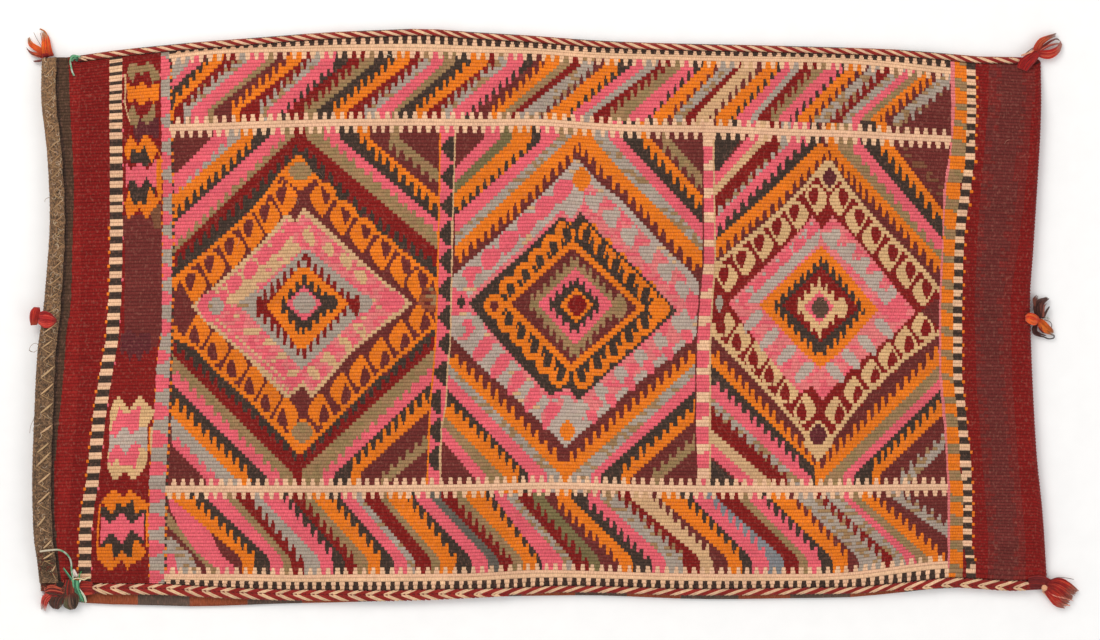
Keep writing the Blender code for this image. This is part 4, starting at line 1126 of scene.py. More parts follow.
for k, y in enumerate(np.arange(58, 580, 3.45)):
    a = float(np.interp(y, [t[0] for t in COLG], [t[1] for t in COLG]))
    b = float(np.interp(y, [t[0] for t in COLG], [t[2] for t in COLG]))
    if k % 3 != 2:
        R("black" if k % 2 else "orange", b + 0.2, b + 2.6, y - 1.8, y + 1.8)
    if k % 3 == 0:
        R("orange", a - 1.6, a + 0.4, y - 1.8, y + 1.8)

# motif column: red and maroon ground, with the two woven-name places left as bare ground
MOT = [(40, 124, 160), (200, 122, 162), (250, 122, 162), (330, 118, 160), (360, 112, 156), (400, 104, 154),
       (450, 99, 150), (500, 97, 148), (600, 96, 148)]
column("red", MOT)
P("maroon", [(122, 214), (162, 214), (162, 330), (157, 345), (151, 350), (126, 342), (124, 330), (125, 250)])
P("plum", [(121, 334), (130, 330), (137, 336), (144, 332), (151, 335), (151, 346), (147.5, 357), (144, 350),
           (139, 364), (134.5, 352), (129.5, 361), (125.5, 350), (121.5, 356), (119, 347)])
# red strip left of it and the upper motifs
LINE("beige", [(125.2, 73), (125.2, 106), (130.5, 124)], 1.6)
P("heather", [(126.5, 70.5), (128.4, 65.4), (134.2, 62.3), (139.6, 66.5), (146.5, 62.3), (152, 63.2), (154.7, 68.6), (159.3, 72.3),
              (159.3, 78.6), (155.6, 79.5), (152, 84.1), (150.2, 76.8), (148.7, 70.5), (144.7, 70.5), (141.1, 75.5), (136.5, 70.5),
              (134.2, 75), (132.9, 82.3), (129.3, 78.6), (127.5, 75)])
P("orange", [(126.7, 83.3), (135, 88), (140, 83), (143.3, 83), (148.3, 88), (153.3, 84.2), (159.2, 82.5), (158.3, 100), (153.3, 103.3),
             (149.2, 98.6), (143.3, 104.6), (139, 104.6), (134.6, 98.4), (130.8, 104.2), (127.5, 100)])
P("plum", [(133.8, 120), (146, 116), (158.6, 118), (159, 139), (146, 134), (138, 142), (133, 134)])
P("heather", [(128.4, 107.7), (134.2, 106.8), (136.5, 115), (139.6, 116.8), (136.5, 127.7), (131.1, 125)])
P("heather", [(154.7, 104.1), (155.3, 117.7), (146.5, 125), (139.6, 118.5), (146.5, 114.5), (149.8, 111.3), (151.1, 105.9)])
P("black", [(131, 143.9), (130.6, 161.4), (134.7, 165), (139.6, 161.4), (144.7, 166.8), (155.7, 160), (152, 152), (146.5, 144.8), (138.4, 152)])
P("orange", [(123.8, 148.6), (130.2, 134.9), (138.4, 146), (144.7, 132.7), (154.7, 144.1), (157.5, 149.5), (152, 163.4), (147.5, 155.1),
             (144.7, 145.1), (138.4, 154.2), (132.9, 146.8), (130.6, 151.4), (128.6, 162.5), (125.4, 155.1)])
P("pink", [(126, 161.4), (130.5, 170), (135.6, 165.4), (139.6, 161.3), (143.8, 166.5), (147.5, 169.6), (156.2, 159.9), (156.2, 189.6),
           (152, 184.1), (146.5, 177.2), (139.6, 189.6), (135.6, 182.4), (130.2, 178.5), (126, 188.7)])
P("black", [(130.2, 179.5), (135.6, 182.5), (139.6, 189.8), (146.5, 178), (156, 190.6), (154, 196), (148, 191), (147.2, 205),
            (142, 206), (139.6, 201), (134.7, 207), (131, 198), (127.6, 193)])
P("orange", [(124.7, 203.2), (129.3, 191.3), (131.1, 199.5), (135.6, 206.4), (139.6, 200.5), (146.1, 207.3), (147.2, 195.9), (149.8, 186.7),
             (155.6, 197.7), (160.2, 193), (158.4, 203), (154.7, 208.6), (146.5, 219.6), (139.6, 208.6), (127.5, 219.6)])
LINE("orange", [(157.4, 150), (160.4, 157), (160.6, 200)], 1.7)
LINE("orange", [(158.0, 160), (158.0, 192)], 1.6)
P("brownish", [(150, 212), (161, 202), (161, 227), (154, 227)])

# lower motifs
P("sand", [(109.6, 411.8), (113.5, 401.8), (118.9, 395.4), (122.9, 401.8), (129.3, 409.2), (135.3, 400.9), (139.6, 394.8), (145.1, 401.8),
           (155.3, 411.8), (151.1, 419.1), (147.0, 426.4), (147.0, 444.5), (147.5, 460.9), (142, 471.8), (132.4, 481), (125.6, 470.4),
           (114.2, 481.5), (107.5, 468.2), (107.5, 455.5), (109.3, 444.5)])
P("pink", [(112, 422.7), (115.6, 419.1), (119.3, 406.4), (123.8, 413.5), (129.3, 412.3), (135.6, 408.2), (141.1, 406.4), (139.6, 415.5),
           (138.4, 426.4), (147, 432), (147, 450), (136, 446), (139.6, 452), (136.5, 460.9), (135.6, 471), (131.1, 464.5), (125.6, 466),
           (119.3, 464.5), (117.5, 456), (112, 465.5), (108.4, 460.9), (109.3, 453.6), (109.3, 433), (112, 430)])
P("lgrey", [(109.3, 433.6), (115.6, 437.3), (119.3, 430.9), (125.6, 425.4), (131.1, 435.5), (135.6, 430), (147.2, 425.4), (147.2, 451),
            (135.6, 442.2), (131.1, 444.5), (125.6, 454.6), (119.3, 445.5), (115.6, 444.5), (109.3, 453.6)])
LINE("orange", [(149.6, 426), (149.2, 450)], 1.6)
LINE("beige", [(152.0, 426), (151.0, 450)], 1.6)
P("black", [(101.5, 506), (107.5, 508.2), (112, 513.6), (114.7, 509), (116.5, 499), (123.3, 506), (133.5, 498), (135.6, 513), (146.5, 505),
            (146, 513.6), (143.8, 545.5), (133.8, 541.8), (131.8, 558), (127.5, 556), (122, 549), (115, 560), (111.3, 545), (106, 549),
            (100, 549), (101, 511.8)])
P("orange", [(101.5, 501.8), (107.5, 494), (114.2, 489), (119.3, 493.2), (123.3, 498.6), (129.3, 489), (135.6, 494.0), (147.2, 502.7),
             (147.2, 507.6), (139.6, 510.5), (135.8, 516), (134.0, 506.4), (132.7, 499.5), (123.3, 507.4), (116.8, 500.4), (115.0, 510.5),
             (111.1, 513.8), (106.5, 507.3)])
P("pink", [(101.1, 514.5), (108.4, 522.8), (112.9, 521.4), (119.3, 514.5), (122.9, 513.5), (130.2, 523.2), (133.8, 522.3), (144.0, 512.6),
           (144.0, 540.1), (135.6, 532.6), (130.2, 530.4), (122, 543.7), (113.8, 534.8), (109.3, 533.5), (101.1, 544.6)])
P("orange", [(97.3, 550), (108.4, 543.5), (111.3, 543.5), (113.6, 561), (122, 550.4), (128.0, 557.2), (131.3, 558), (132.9, 543.5),
             (135.6, 538), (144.7, 549.5), (146.0, 553.2), (138.4, 561.4), (131.1, 563.2), (126.9, 570.5), (122, 560.1), (119.3, 562.8),
             (109.6, 571.6), (102, 564.1), (96.3, 558.2)])
LINE("orange", [(100.0, 504.5), (98.0, 525), (97.0, 552)], 1.8)
LINE("orange", [(147.0, 506), (146.4, 548)], 1.8)

# cream and black block column
def block_x(y):
    return float(np.interp(y, [40, 60, 180, 240, 290, 340, 380, 415, 455, 490, 500, 530, 565, 600],
                           [109, 109, 110, 110, 109, 105.7, 98.6, 93, 89, 85, 82.5, 79, 78, 77]))


# painted shadow: a dark brown strip in the groove along the hem's free edge, where the hem casts its shade
column("dbrown", [(y, float(PX(mouth_rim(MY(y))) + hem_width(MY(y)) / S) - 1.5, float(PX(mouth_rim(MY(y))) + hem_width(MY(y)) / S) + 2.6)
                  for y in range(40, 612, 6)])
BX = [(y, block_x(y), block_x(y) + 12.5) for y in range(40, 612, 6)]
column("black", BX)
# two ribs of cream, then one of black near the top and two further down
r, k = 1, 0
while r < NR - 3:
    for s in (0, 1):
        y = float(RIB_Y[r + s, int((105 - FIRST_X) / STEP_X)])
        a = block_x(y)
        CELL[r + s, (GX >= a - 0.2) & (GX < a + 12.6)] = CODE["cream"]
    y = float(RIB_Y[r + 2, int((105 - FIRST_X) / STEP_X)])
    a = block_x(y)
    if y > 225:
        R("orange", a - 2.0, a + 0.4, y - 1.5, y + 1.5)
    if k % 3 == 1:
        R("pink", a + 12.2, a + 14.0, y - 1.5, y + 1.5)
    r += 3 if y < 130 or (y < 240 and k % 2) else 4
    k += 1

# ============================================================== right columns
PKX = [(40, 951, 955), (130, 951, 954.5), (155, 949, 952.5), (175, 945, 949), (200, 943, 946), (240, 942, 945), (270, 940, 943),
       (300, 939, 942), (380, 939, 942), (410, 942, 945), (430, 944, 947), (460, 946, 949), (490, 947, 950), (600, 948, 951)]
column("dpink", PKX)
OTX = [(40, 955, 967), (110, 955, 967), (130, 953, 966), (160, 950, 965), (190, 946, 960), (220, 944, 957), (250, 943, 955),
       (300, 941, 953), (370, 941, 953), (410, 945, 957), (440, 947, 959), (470, 948, 960), (490, 950, 963), (600, 950, 963)]
column("heather", OTX)
for y0, y1 in ((63, 79), (89, 103), (109, 121), (127, 140), (155, 170), (182, 198), (210, 228), (238, 255), (262, 280), (288, 303),
               (311, 327), (335, 350), (358, 374), (381, 396), (403, 414), (427, 443), (453, 470), (480, 495), (502, 515), (525, 540), (550, 565), (575, 590)):
    ya = (y0 + y1) / 2
    a = float(np.interp(ya, [t[0] for t in OTX], [t[1] for t in OTX]))
    b = float(np.interp(ya, [t[0] for t in OTX], [t[2] for t in OTX]))
    P("orange", [(a, y0 - 1), (b, y0 + 2), (b, y1 + 2), (a, y1 - 1)])
CBX = [(40, 967, 976), (110, 967, 976), (130, 966, 975), (155, 966, 975), (175, 963, 972), (190, 961, 970), (205, 958, 968), (220, 956, 966),
       (235, 955, 964), (255, 954, 963), (300, 953, 962), (380, 953, 962), (405, 956, 965), (430, 958, 967), (450, 960, 970),
       (490, 963, 972), (545, 963, 972), (560, 966, 975), (600, 967, 978)]
column("black", CBX)
for y0, y1 in ((69, 74), (79, 83), (89, 93), (99, 104), (109, 113), (119, 123), (130, 134), (142, 146), (154, 159), (170, 175), (183, 188),
               (197, 202), (211, 215), (224, 229), (238, 242), (250, 255), (264, 268), (277, 281), (290, 294), (302, 306), (313, 317),
               (325, 329), (337, 341), (348, 353), (361, 366), (374, 379), (388, 393), (402, 407), (416, 421), (431, 437), (446, 451),
               (460, 465), (472, 478), (485, 490), (496, 500), (507, 511), (518, 522), (530, 533), (541, 546), (555, 558), (567, 571), (579, 583)):
    ya = (y0 + y1) / 2
    a = float(np.interp(ya, [t[0] for t in CBX], [t[1] for t in CBX]))
    b = float(np.interp(ya, [t[0] for t in CBX], [t[2] for t in CBX]))
    R("cream", a, b, y0 - 0.6, y1 + 0.9)
    R("orange", b, b + 2.4, y1 + 1.0, y1 + 4.4)

# ================================================= the four toothed cream lines
def tooth_rows(row, x0, x1, up_dark):
    """A cream line two ribs thick round groove `row`, with teeth two ribs long up and down."""
    cols = (GX >= x0) & (GX < x1)
    for r in (row - 1, row):
        if 0 <= r < NR:
            CELL[r, cols] = CODE["cream"]
    if up_dark == "up":
        rs = [r for r in range(0, row - 1)]
    elif up_dark == "down":
        rs = [r for r in range(row + 1, NR)]
    else:
        rs = []
    for r in rs:
        CELL[r, cols] = CODE["dbrown"]
    for side in (-1, 1):
        x = x0 + (1.0 if side > 0 else 5.5)
        while x < x1 - 3:
            w = random.uniform(4.2, 5.2)
            for k in (0, 1):
                r = row - 2 - k if side < 0 else row + 1 + k
                if 0 <= r < NR:
                    cut = 0.55 * k
                    c = (GX >= x + cut) & (GX < x + w - cut)
                    CELL[r, c] = CODE["cream"]
            x += random.uniform(8.6, 9.8)


tooth_rows(PARTS[0], 170, 951, "up")
tooth_rows(PARTS[0] + PARTS[1], 170, 951, "")
tooth_rows(sum(PARTS[:3]), 166, 948, "")
tooth_rows(sum(PARTS[:4]), 164, 948, "down")

# ============================================================== cloth mesh
# The cloth is one closed strip. Face A is the sack's outside: front, bottom
# fold and back. Face B is the inside, which the hems turn outward at the mouth.
HALF = CLOTH_T / 2
TURN = (CLOTH_T + GAP) / 2
RIM_IN = TURN + HALF
BEND = (CLOTH_T + AIR) / 2
FOLD_IN = BEND + HALF

# half-lines: even ones are the grooves, odd ones the crests of the ribs
NL = 2 * NR + 1
TOP_PY, LOW_PY = GROOVE[0], GROOVE[-1]
TL = np.empty((NL, len(GX)))
TL[0::2] = (GROOVE - TOP_PY) / (LOW_PY - TOP_PY)
TL[1::2] = (TL[0:-1:2] + TL[2::2]) / 2


def share_at(J, x):
    c = np.clip((PX(x) - FIRST_X) / STEP_X, 0, len(GX) - 1.001)
    i = c.astype(int)
    f = c - i
    return TL[J, i] * (1 - f) + TL[J, i + 1] * f


def across(J, x, front):
    """y of half-lines J at x; front is 1 on the front panel, 0 on the back."""
    t = share_at(J, x)
    up = edge_y(x, True, True) * front + edge_y(x, True, False) * (1 - front)
    lo = edge_y(x, False, True) * front + edge_y(x, False, False) * (1 - front)
    return up + (lo - up) * t


def swell(x, y):
    """Long low waves of the loose front, none near hem, seams and tassels."""
    inset = np.minimum(edge_y(x, True, True) - y, y - edge_y(x, False, True))
    fade = ramp(14 * MM, 70 * MM, inset) * ramp(-0.515, -0.44, x) * (1 - ramp(0.44, 0.52, x))
    wave = (0.45 * np.sin(x * 13.1 + 2.3 * np.sin(y * 7.0)) + 0.40 * np.sin(y * 19.0 + x * 5.0 + 1.1)
            + 0.30 * np.sin(x * 31.0 - y * 11.0 + 0.6))
    return wave * fade * 0.9 * MM


def settle(J, front, place):
    x = np.zeros(len(J))
    for _ in range(5):
        y = across(J, x, front)
        x = place(y)
    return x, y


def hem_lumps(y, f):
    """The rolled hem's rounded, lumpy thickness over its flat middle."""
    roll = math.sin(math.pi * min(max(f, 0.0), 1.0)) ** 0.7
    lumps = (0.40 * np.sin(y * 310.0 + 2.2 * np.sin(y * 71.0) + 1.3 * f)
             + 0.34 * np.sin(y * 523.0 + 4.0 * f + 1.9 * np.sin(y * 130.0)) + 0.24 * np.sin(y * 1010.0 - 5.0 * f))
    return (1.35 * roll + lumps * (0.30 + 0.70 * roll)) * MM


def mid(part, f, J):
    """Middle of the cloth's thickness, and the direction to face B."""
    J = np.asarray(J)
    one, none = np.ones(len(J)), np.zeros(len(J))
    if part == "hem":
        x, y = settle(J, 1.0, lambda y: mouth_rim(y) + RIM_IN + (hem_width(y) + (0.5 * np.sin(y * 190.0) + 0.3 * np.sin(y * 420.0)) * MM
                                                                 - RIM_IN) * (1 - f))
        return x, y, front_mid(x, y) + CLOTH_T + GAP, none, one
    if part == "turn":
        xc, y = settle(J, 1.0, lambda y: mouth_rim(y) + RIM_IN)
        a = math.pi / 2 + math.pi * f
        zc = front_mid(xc, y) + (CLOTH_T + GAP) / 2
        return xc + TURN * math.cos(a), y, zc + TURN * math.sin(a), one * math.cos(a), one * math.sin(a)
    if part in ("front", "back"):
        front = 1.0 if part == "front" else 0.0
        g = f if part == "front" else 1 - f

        def place(y):
            s = mouth_rim(y) + RIM_IN
            return s + (bottom_fold(y) - FOLD_IN - s) * g
        x, y = settle(J, front, place)
        if part == "front":
            return x, y, front_mid(x, y) + swell(x, y), none, -one
        return x, y, back_mid(x, y), none, one
    if part == "fold":
        xc, y = settle(J, 1.0 - f, lambda y: bottom_fold(y) - FOLD_IN)
        zf, zb = front_mid(xc, y), back_mid(xc, y)
        a = math.pi / 2 - math.pi * f
        return (xc + BEND * math.cos(a), y, (zf + zb) / 2 + (zf - zb) / 2 * math.sin(a),
                -one * math.cos(a), -one * math.sin(a))
    if part == "back_turn":
        xc, y = settle(J, 0.0, lambda y: mouth_rim(y) + RIM_IN)
        a = math.pi / 2 + math.pi * f
        zc = back_mid(xc, y) - (CLOTH_T + GAP) / 2
        return xc + TURN * math.cos(a), y, zc + TURN * math.sin(a), one * math.cos(a), one * math.sin(a)
    x, y = settle(J, 0.0, lambda y: mouth_rim(y) + RIM_IN + (HEM - RIM_IN) * f)
    return x, y, one * CLOTH_T / 2, none, -one


ORDER = ["hem", "turn", "front", "fold", "back", "back_turn", "back_hem"]
FINE = np.arange(NL)
COARSE = np.unique(np.append(np.arange(0, NL, 12), NL - 1))

V, CREST_OF = [], []
FACES, F_COL, F_SLOT, F_RIB = [], [], [], []


def add_verts(x, y, z, crest):
    start = len(V)
    V.extend(zip(np.asarray(x, float).tolist(), np.asarray(y, float).tolist(), np.asarray(z, float).tolist()))
    CREST_OF.extend(np.broadcast_to(crest, np.shape(x)).astype(float).tolist())
    return list(range(start, len(V)))


def emit(ids, colour, slot, rib=0.0):
    FACES.append(ids)
    F_COL.append(colour)
    F_SLOT.append(slot)
    F_RIB.append(rib)


def station(part, f, side, fine=True, crest_lift=0.0, valley=0.75 * MM, rough=0.0):
    J = FINE if fine else COARSE
    x, y, z, nx, nz = mid(part, f, J)
    if fine:
        lift = np.where(J % 2 == 1, crest_lift, crest_lift - valley)
        crest = np.where(J % 2 == 1, 1.0, 0.0)
    else:
        lift, crest = np.zeros(len(J)), np.full(len(J), 0.5)
    if rough:
        lift = lift + RNG.uniform(-rough, rough, len(J))
        x = x + RNG.uniform(-rough, rough, len(J)) * 0.6 * (nz != 0)
    if part == "hem" and side == "B":
        lift = lift + hem_lumps(y, f)
    if part == "turn" and side == "B":
        lift = lift + hem_lumps(y, 1.0) * (1 - f)
    s = HALF + lift
    sign = 1.0 if side == "B" else -1.0
    ids = add_verts(x + sign * nx * s, y, z + sign * nz * s, crest)
    return {"J": J, "ids": ids, "s": ORDER.index(part) + f, "part": part, "f": f, "x": x}


def zip_lines(a, sa, b, sb, put):
    i = j = 0
    while i < len(a) - 1 or j < len(b) - 1:
        if j == len(b) - 1 or (i < len(a) - 1 and sa[i + 1] <= sb[j + 1]):
            put((a[i], a[i + 1], b[j]))
            i += 1
        else:
            put((a[i], b[j + 1], b[j]))
            j += 1


def yarn(name, spread=0.035):
    r, g, b = srgb(*YARN[name])
    k = 1.0 + random.gauss(0, spread)
    return (r * k, g * k * (1 + random.gauss(0, 0.012)), b * k * (1 + random.gauss(0, 0.012)))


def pick(name):
    if name in MIXED:
        roll = random.random()
        for part, w in MIXED[name]:
            roll -= w
            if roll <= 0:
                return part
        return MIXED[name][-1][0]
    return name


def bridge(p, q, slot, colour_of):
    """Faces between two neighbouring stations."""
    if len(p["J"]) == len(q["J"]):
        for k in range(len(p["J"]) - 1):
            j = int(p["J"][k])
            emit((p["ids"][k], p["ids"][k + 1], q["ids"][k + 1], q["ids"][k]),
                 colour_of(j // 2, p, q), slot, float(j // 2))
    else:
        zip_lines(p["ids"], p["J"].tolist(), q["ids"], q["J"].tolist(),
                  lambda t: emit(t, colour_of(0, p, q), slot, 0.0))


# ---- face A: outside
SLOT_L, SLOT_R, SLOT_BACK, SLOT_HEM, SLOT_IN = range(5)
HAIR = ["hair", "hair", "hairl", "haird"]


def hair_colour(r, p, q):
    """Lighter brown at the hem's upper end, darker below."""
    if random.random() < 0.85 - 1.35 * r / NR:
        return yarn(random.choice(("hairt", "hairt", "hairl", "hair")), 0.10)
    return yarn(random.choice(HAIR), 0.10)


def inner_colour(r, p, q):
    return yarn("red" if r % 2 else "maroon", 0.05)


A = [station("hem", f, "A", fine=False) for f in (0.0, 0.5, 1.0)]
A += [station("turn", k / 6, "A", fine=False) for k in range(1, 6)]
for p, q in zip(A, A[1:]):
    bridge(p, q, SLOT_HEM, hair_colour)
front_start = station("front", 0.0, "A", crest_lift=0.05 * MM)
front_end = station("front", 1.0, "A", crest_lift=0.10 * MM)
bridge(A[-1], front_start, SLOT_HEM, hair_colour)

# the patterned front, rib by rib
START_PX, END_PX = PX(front_start["x"]), PX(front_end["x"])
CUTS, RUN_COL = [], []
SPLIT = 548.0
mixed_codes = {CODE[m] for m in MIXED}
for r in range(NR):
    a, b = START_PX[2 * r + 1] + 1.6, END_PX[2 * r + 1] - 1.6
    row = CELL[r]
    i0 = int(math.ceil((a - FIRST_X) / STEP_X))
    i1 = int((b - FIRST_X) / STEP_X)
    edges = [i0] + [int(v) + 1 for v in np.flatnonzero(row[i0 + 1:i1] != row[i0:i1 - 1]) + i0] + [i1]
    # a run must be wide enough for the yarn to show
    keep = [edges[0]]
    for e in edges[1:-1]:
        if e - keep[-1] >= 3:
            keep.append(e)
    if edges[-1] - keep[-1] < 3 and len(keep) > 1:
        keep.pop()
    keep.append(edges[-1])
    cuts, cols = [], []
    for e0, e1 in zip(keep, keep[1:]):
        code = int(row[(e0 + e1) // 2])
        length = (e1 - e0) * STEP_X
        n = 1
        if code in mixed_codes:
            n = max(1, int(round(length / random.uniform(4.0, 7.5))))
        elif length > 17:
            n = int(math.ceil(length / 16.0))
        marks = [e0]
        for k in range(1, n):
            m = e0 + int(round((e1 - e0) * (k + random.uniform(-0.25, 0.25)) / n))
            if m - marks[-1] >= 3 and e1 - m >= 3:
                marks.append(m)
        base = yarn(pick(NAMES[code]))
        for k, m in enumerate(marks):
            if k and code in mixed_codes:
                base = yarn(pick(NAMES[code]))
            cuts.append(FIRST_X + m * STEP_X)
            cols.append(base)
    cuts = cuts[1:]                                    # the first run starts at the line's end
    CUTS.append(np.array(cuts))
    RUN_COL.append(cols)


def rib_points(J, px, lift):
    x = MX(px)
    wob = RNG.uniform(-0.32, 0.32, len(px)) * S
    y = across(np.full(len(px), J), x, 1.0)
    x = x + wob
    return x, y, front_mid(x, y) + swell(x, y) + HALF + lift


def rib_noise(J, px):
    """Small unevenness of the hand-spun ribs."""
    return 0.09 * MM * (np.sin(px * 0.31 + J * 1.7) + np.sin(px * 0.113 + J * 2.9))


VALLEYS = []
for k in range(NR + 1):
    near = [CUTS[r] for r in (k - 1, k) if 0 <= r < NR]
    u = np.unique(np.concatenate(near))
    x, y, z = rib_points(2 * k, u, -0.70 * MM)
    ids = add_verts(x, y, z, 0.0)
    VALLEYS.append((u, [front_start["ids"][2 * k]] + ids + [front_end["ids"][2 * k]]))
for r in range(NR):
    c = CUTS[r]
    x, y, z = rib_points(2 * r + 1, c, 0.08 * MM)
    z = z + rib_noise(r, c)
    line = [front_start["ids"][2 * r + 1]] + add_verts(x, y, z, 1.0) + [front_end["ids"][2 * r + 1]]
    for side in (0, 1):
        u, ids = VALLEYS[r + side]
        spots = [0] + (np.searchsorted(u, c) + 1).tolist() + [len(ids) - 1]
        for i in range(len(line) - 1):
            middle = (c[i - 1] if i else c[0] - 4) if len(c) else 300
            ring = [line[i], line[i + 1]] + ids[spots[i]:spots[i + 1] + 1][::-1]
            emit(tuple(ring), RUN_COL[r][i], SLOT_L if middle < SPLIT else SLOT_R, float(r))

# bottom fold and back, then the back hem's hidden side
fold_colours = [yarn("red") for _ in range(NR)]


def fold_colour(r, p, q):
    return fold_colours[min(r, NR - 1)]


BANDS = [(1100, "red"), (1012, "rust"), (960, "back"), (905, "rust"), (850, "back"), (790, "rust"), (738, "back"),
         (680, "rust"), (626, "back"), (574, "rust"), (520, "back"), (466, "rust"), (410, "back"), (356, "rust"),
         (300, "back"), (245, "rust"), (187, "back"), (135, "rust"), (85, "hairb"), (0, "hairb")]


def back_colour(r, p, q):
    m = float((p["x"].mean() + q["x"].mean()) / 2)
    px = PX(m) + 2.0 * math.sin(r * 0.9)
    for (hi, name), (lo, _) in zip(BANDS, BANDS[1:]):
        if px >= lo:
            return yarn(name, 0.05)
    return yarn("hair", 0.05)


fold = [front_end] + [station("fold", k / 8, "A", crest_lift=0.08 * MM) for k in range(1, 8)]
marks_back = [0.0, 0.012] + [(1042 - b) / 1002.0 for b, _ in BANDS[1:-1]]
marks_back = sorted(set([0.0, 1.0] + [m for m in marks_back if 0.004 < m < 0.985]
                        + [(a + b) / 2 for a, b in zip(marks_back[1:], marks_back[2:])]
                        + [0.962, 0.975, 0.988]))
back = [station("back", f, "A", crest_lift=0.0, valley=0.6 * MM) for f in marks_back]
run = fold + [back[0]]
for p, q in zip(run, run[1:]):
    bridge(p, q, SLOT_BACK, fold_colour)
for p, q in zip(back, back[1:]):
    bridge(p, q, SLOT_BACK, back_colour)
tail = [station("back_turn", k / 6, "A", fine=False) for k in range(1, 6)]
tail += [station("back_hem", f, "A", fine=False) for f in (0.0, 0.5, 1.0)]
bridge(back[-1], tail[0], SLOT_HEM, hair_colour)
for p, q in zip(tail, tail[1:]):
    bridge(p, q, SLOT_HEM, hair_colour)

# ---- face B: the visible hems and the inside
hem_b = [station("hem", f, "B", crest_lift=0.0, valley=0.32 * MM, rough=0.24 * MM)
         for f in (0.0, 0.05, 0.12, 0.20, 0.28, 0.36, 0.44, 0.52, 0.60, 0.68, 0.76, 0.84, 0.92, 1.0)]
hem_b += [station("turn", k / 6, "B", crest_lift=0.0, valley=0.35 * MM, rough=0.14 * MM) for k in range(1, 6)]
inner = [station("front", f, "B", fine=False) for f in [0.0, 0.01, 0.02, 0.04, 0.06] + [0.06 + 0.94 * i / 16 for i in range(1, 17)]]
inner += [station("fold", k / 8, "B", fine=False) for k in range(1, 8)]
inner += [station("back", f, "B", fine=False) for f in marks_back]
hem_e = [station("back_turn", k / 6, "B", crest_lift=0.0, valley=0.5 * MM, rough=0.05 * MM) for k in range(1, 6)]
hem_e += [station("back_hem", f, "B", crest_lift=-0.05 * MM, valley=0.5 * MM) for f in (0.0, 0.25, 0.5, 0.75, 1.0)]
for p, q in zip(hem_b, hem_b[1:]):
    bridge(p, q, SLOT_HEM, hair_colour)
bridge(hem_b[-1], inner[0], SLOT_IN, inner_colour)
for p, q in zip(inner, inner[1:]):
    bridge(p, q, SLOT_IN, back_colour if p["part"] == q["part"] == "back" else inner_colour)
bridge(inner[-1], hem_e[0], SLOT_IN, inner_colour)
for p, q in zip(hem_e, hem_e[1:]):
    bridge(p, q, SLOT_HEM, hair_colour)

# ---- the strip's two long edges and two ends
def edge_colour(t):
    """The back's bands go on round its edge; the front's edge is dark."""
    mx, my, mz = (sum(V[i][a] for i in t) / len(t) for a in range(3))
    if mz < float(back_mid(mx, my)) + HALF + 0.2 * MM:
        px = float(PX(mx))
        for (hi, name), (lo, _) in zip(BANDS, BANDS[1:]):
            if px >= lo:
                return yarn(name, 0.05)
        return yarn("hair", 0.05)
    return yarn("maroon" if not 165 < PX(mx) < 950 else "dbrown")


runs_a = A + [None] + [front_end] + fold[1:] + back + tail
runs_b = hem_b + inner + hem_e
for end, k in ((0, 0), (-1, NR)):
    ids_a, s_a = [], []
    for st in runs_a:
        if st is None:
            u, ids = VALLEYS[k]
            lo, hi = float(START_PX[2 * k]), float(END_PX[2 * k])
            ids_a += ids[:-1]
            s_a += [2.0] + [2.0 + (v - lo) / (hi - lo) for v in u.tolist()]
        else:
            ids_a.append(st["ids"][end])
            s_a.append(st["s"])
    ids_b = [st["ids"][end] for st in runs_b]
    s_b = [st["s"] for st in runs_b]
    zip_lines(ids_a, s_a, ids_b, s_b, lambda t: emit(t, edge_colour(t), SLOT_IN, 0.0))
for a, b in ((A[0], hem_b[0]), (tail[-1], hem_e[-1])):
    zip_lines(a["ids"], a["J"].tolist(), b["ids"], b["J"].tolist(),
              lambda t: emit(t, yarn("hair", 0.1), SLOT_HEM, 0.0))


def finish_mesh(name, verts, faces, cols, slots, ribs, crest, mats):
    me = bpy.data.meshes.new(name)
    me.from_pydata(verts, [], faces)
    for m in mats:
        me.materials.append(m)
    me.polygons.foreach_set("material_index", slots)
    bm = bmesh.new()
    bm.from_mesh(me)
    bmesh.ops.recalc_face_normals(bm, faces=bm.faces)
    if bm.calc_volume(signed=True) < 0:
        bmesh.ops.reverse_faces(bm, faces=bm.faces)
    open_edges = sum(1 for e in bm.edges if len(e.link_faces) != 2)
    bm.to_mesh(me)
    bm.free()
    sizes = np.empty(len(me.polygons), np.int32)
    me.polygons.foreach_get("loop_total", sizes)
    col = np.repeat(np.array([(*c, 1.0) for c in cols], np.float32), sizes, axis=0)
    layer = me.attributes.new("yarn", "FLOAT_COLOR", "CORNER")
    layer.data.foreach_set("color", col.ravel())
    layer = me.attributes.new("rib", "FLOAT", "CORNER")
    layer.data.foreach_set("value", np.repeat(np.array(ribs, np.float32), sizes))
    layer = me.attributes.new("crest", "FLOAT", "POINT")
    layer.data.foreach_set("value", np.array(crest, np.float32))
    me.polygons.foreach_set("use_smooth", np.ones(len(me.polygons), bool))
    ends = np.empty(len(me.edges) * 2, np.int32)
    me.edges.foreach_get("vertices", ends)
    low = np.array(crest)[ends].reshape(-1, 2)
    sharp = me.attributes.new("sharp_edge", "BOOLEAN", "EDGE") if "sharp_edge" not in me.attributes else me.attributes["sharp_edge"]
    sharp.data.foreach_set("value", (low == 0.0).all(1))
    me.update()
    tris = int((sizes - 2).sum())
    print("%s: %d faces, %d triangles, %d open edges" % (name, len(me.polygons), tris, open_edges))
    obj = bpy.data.objects.new(name, me)
    return link_obj(obj)


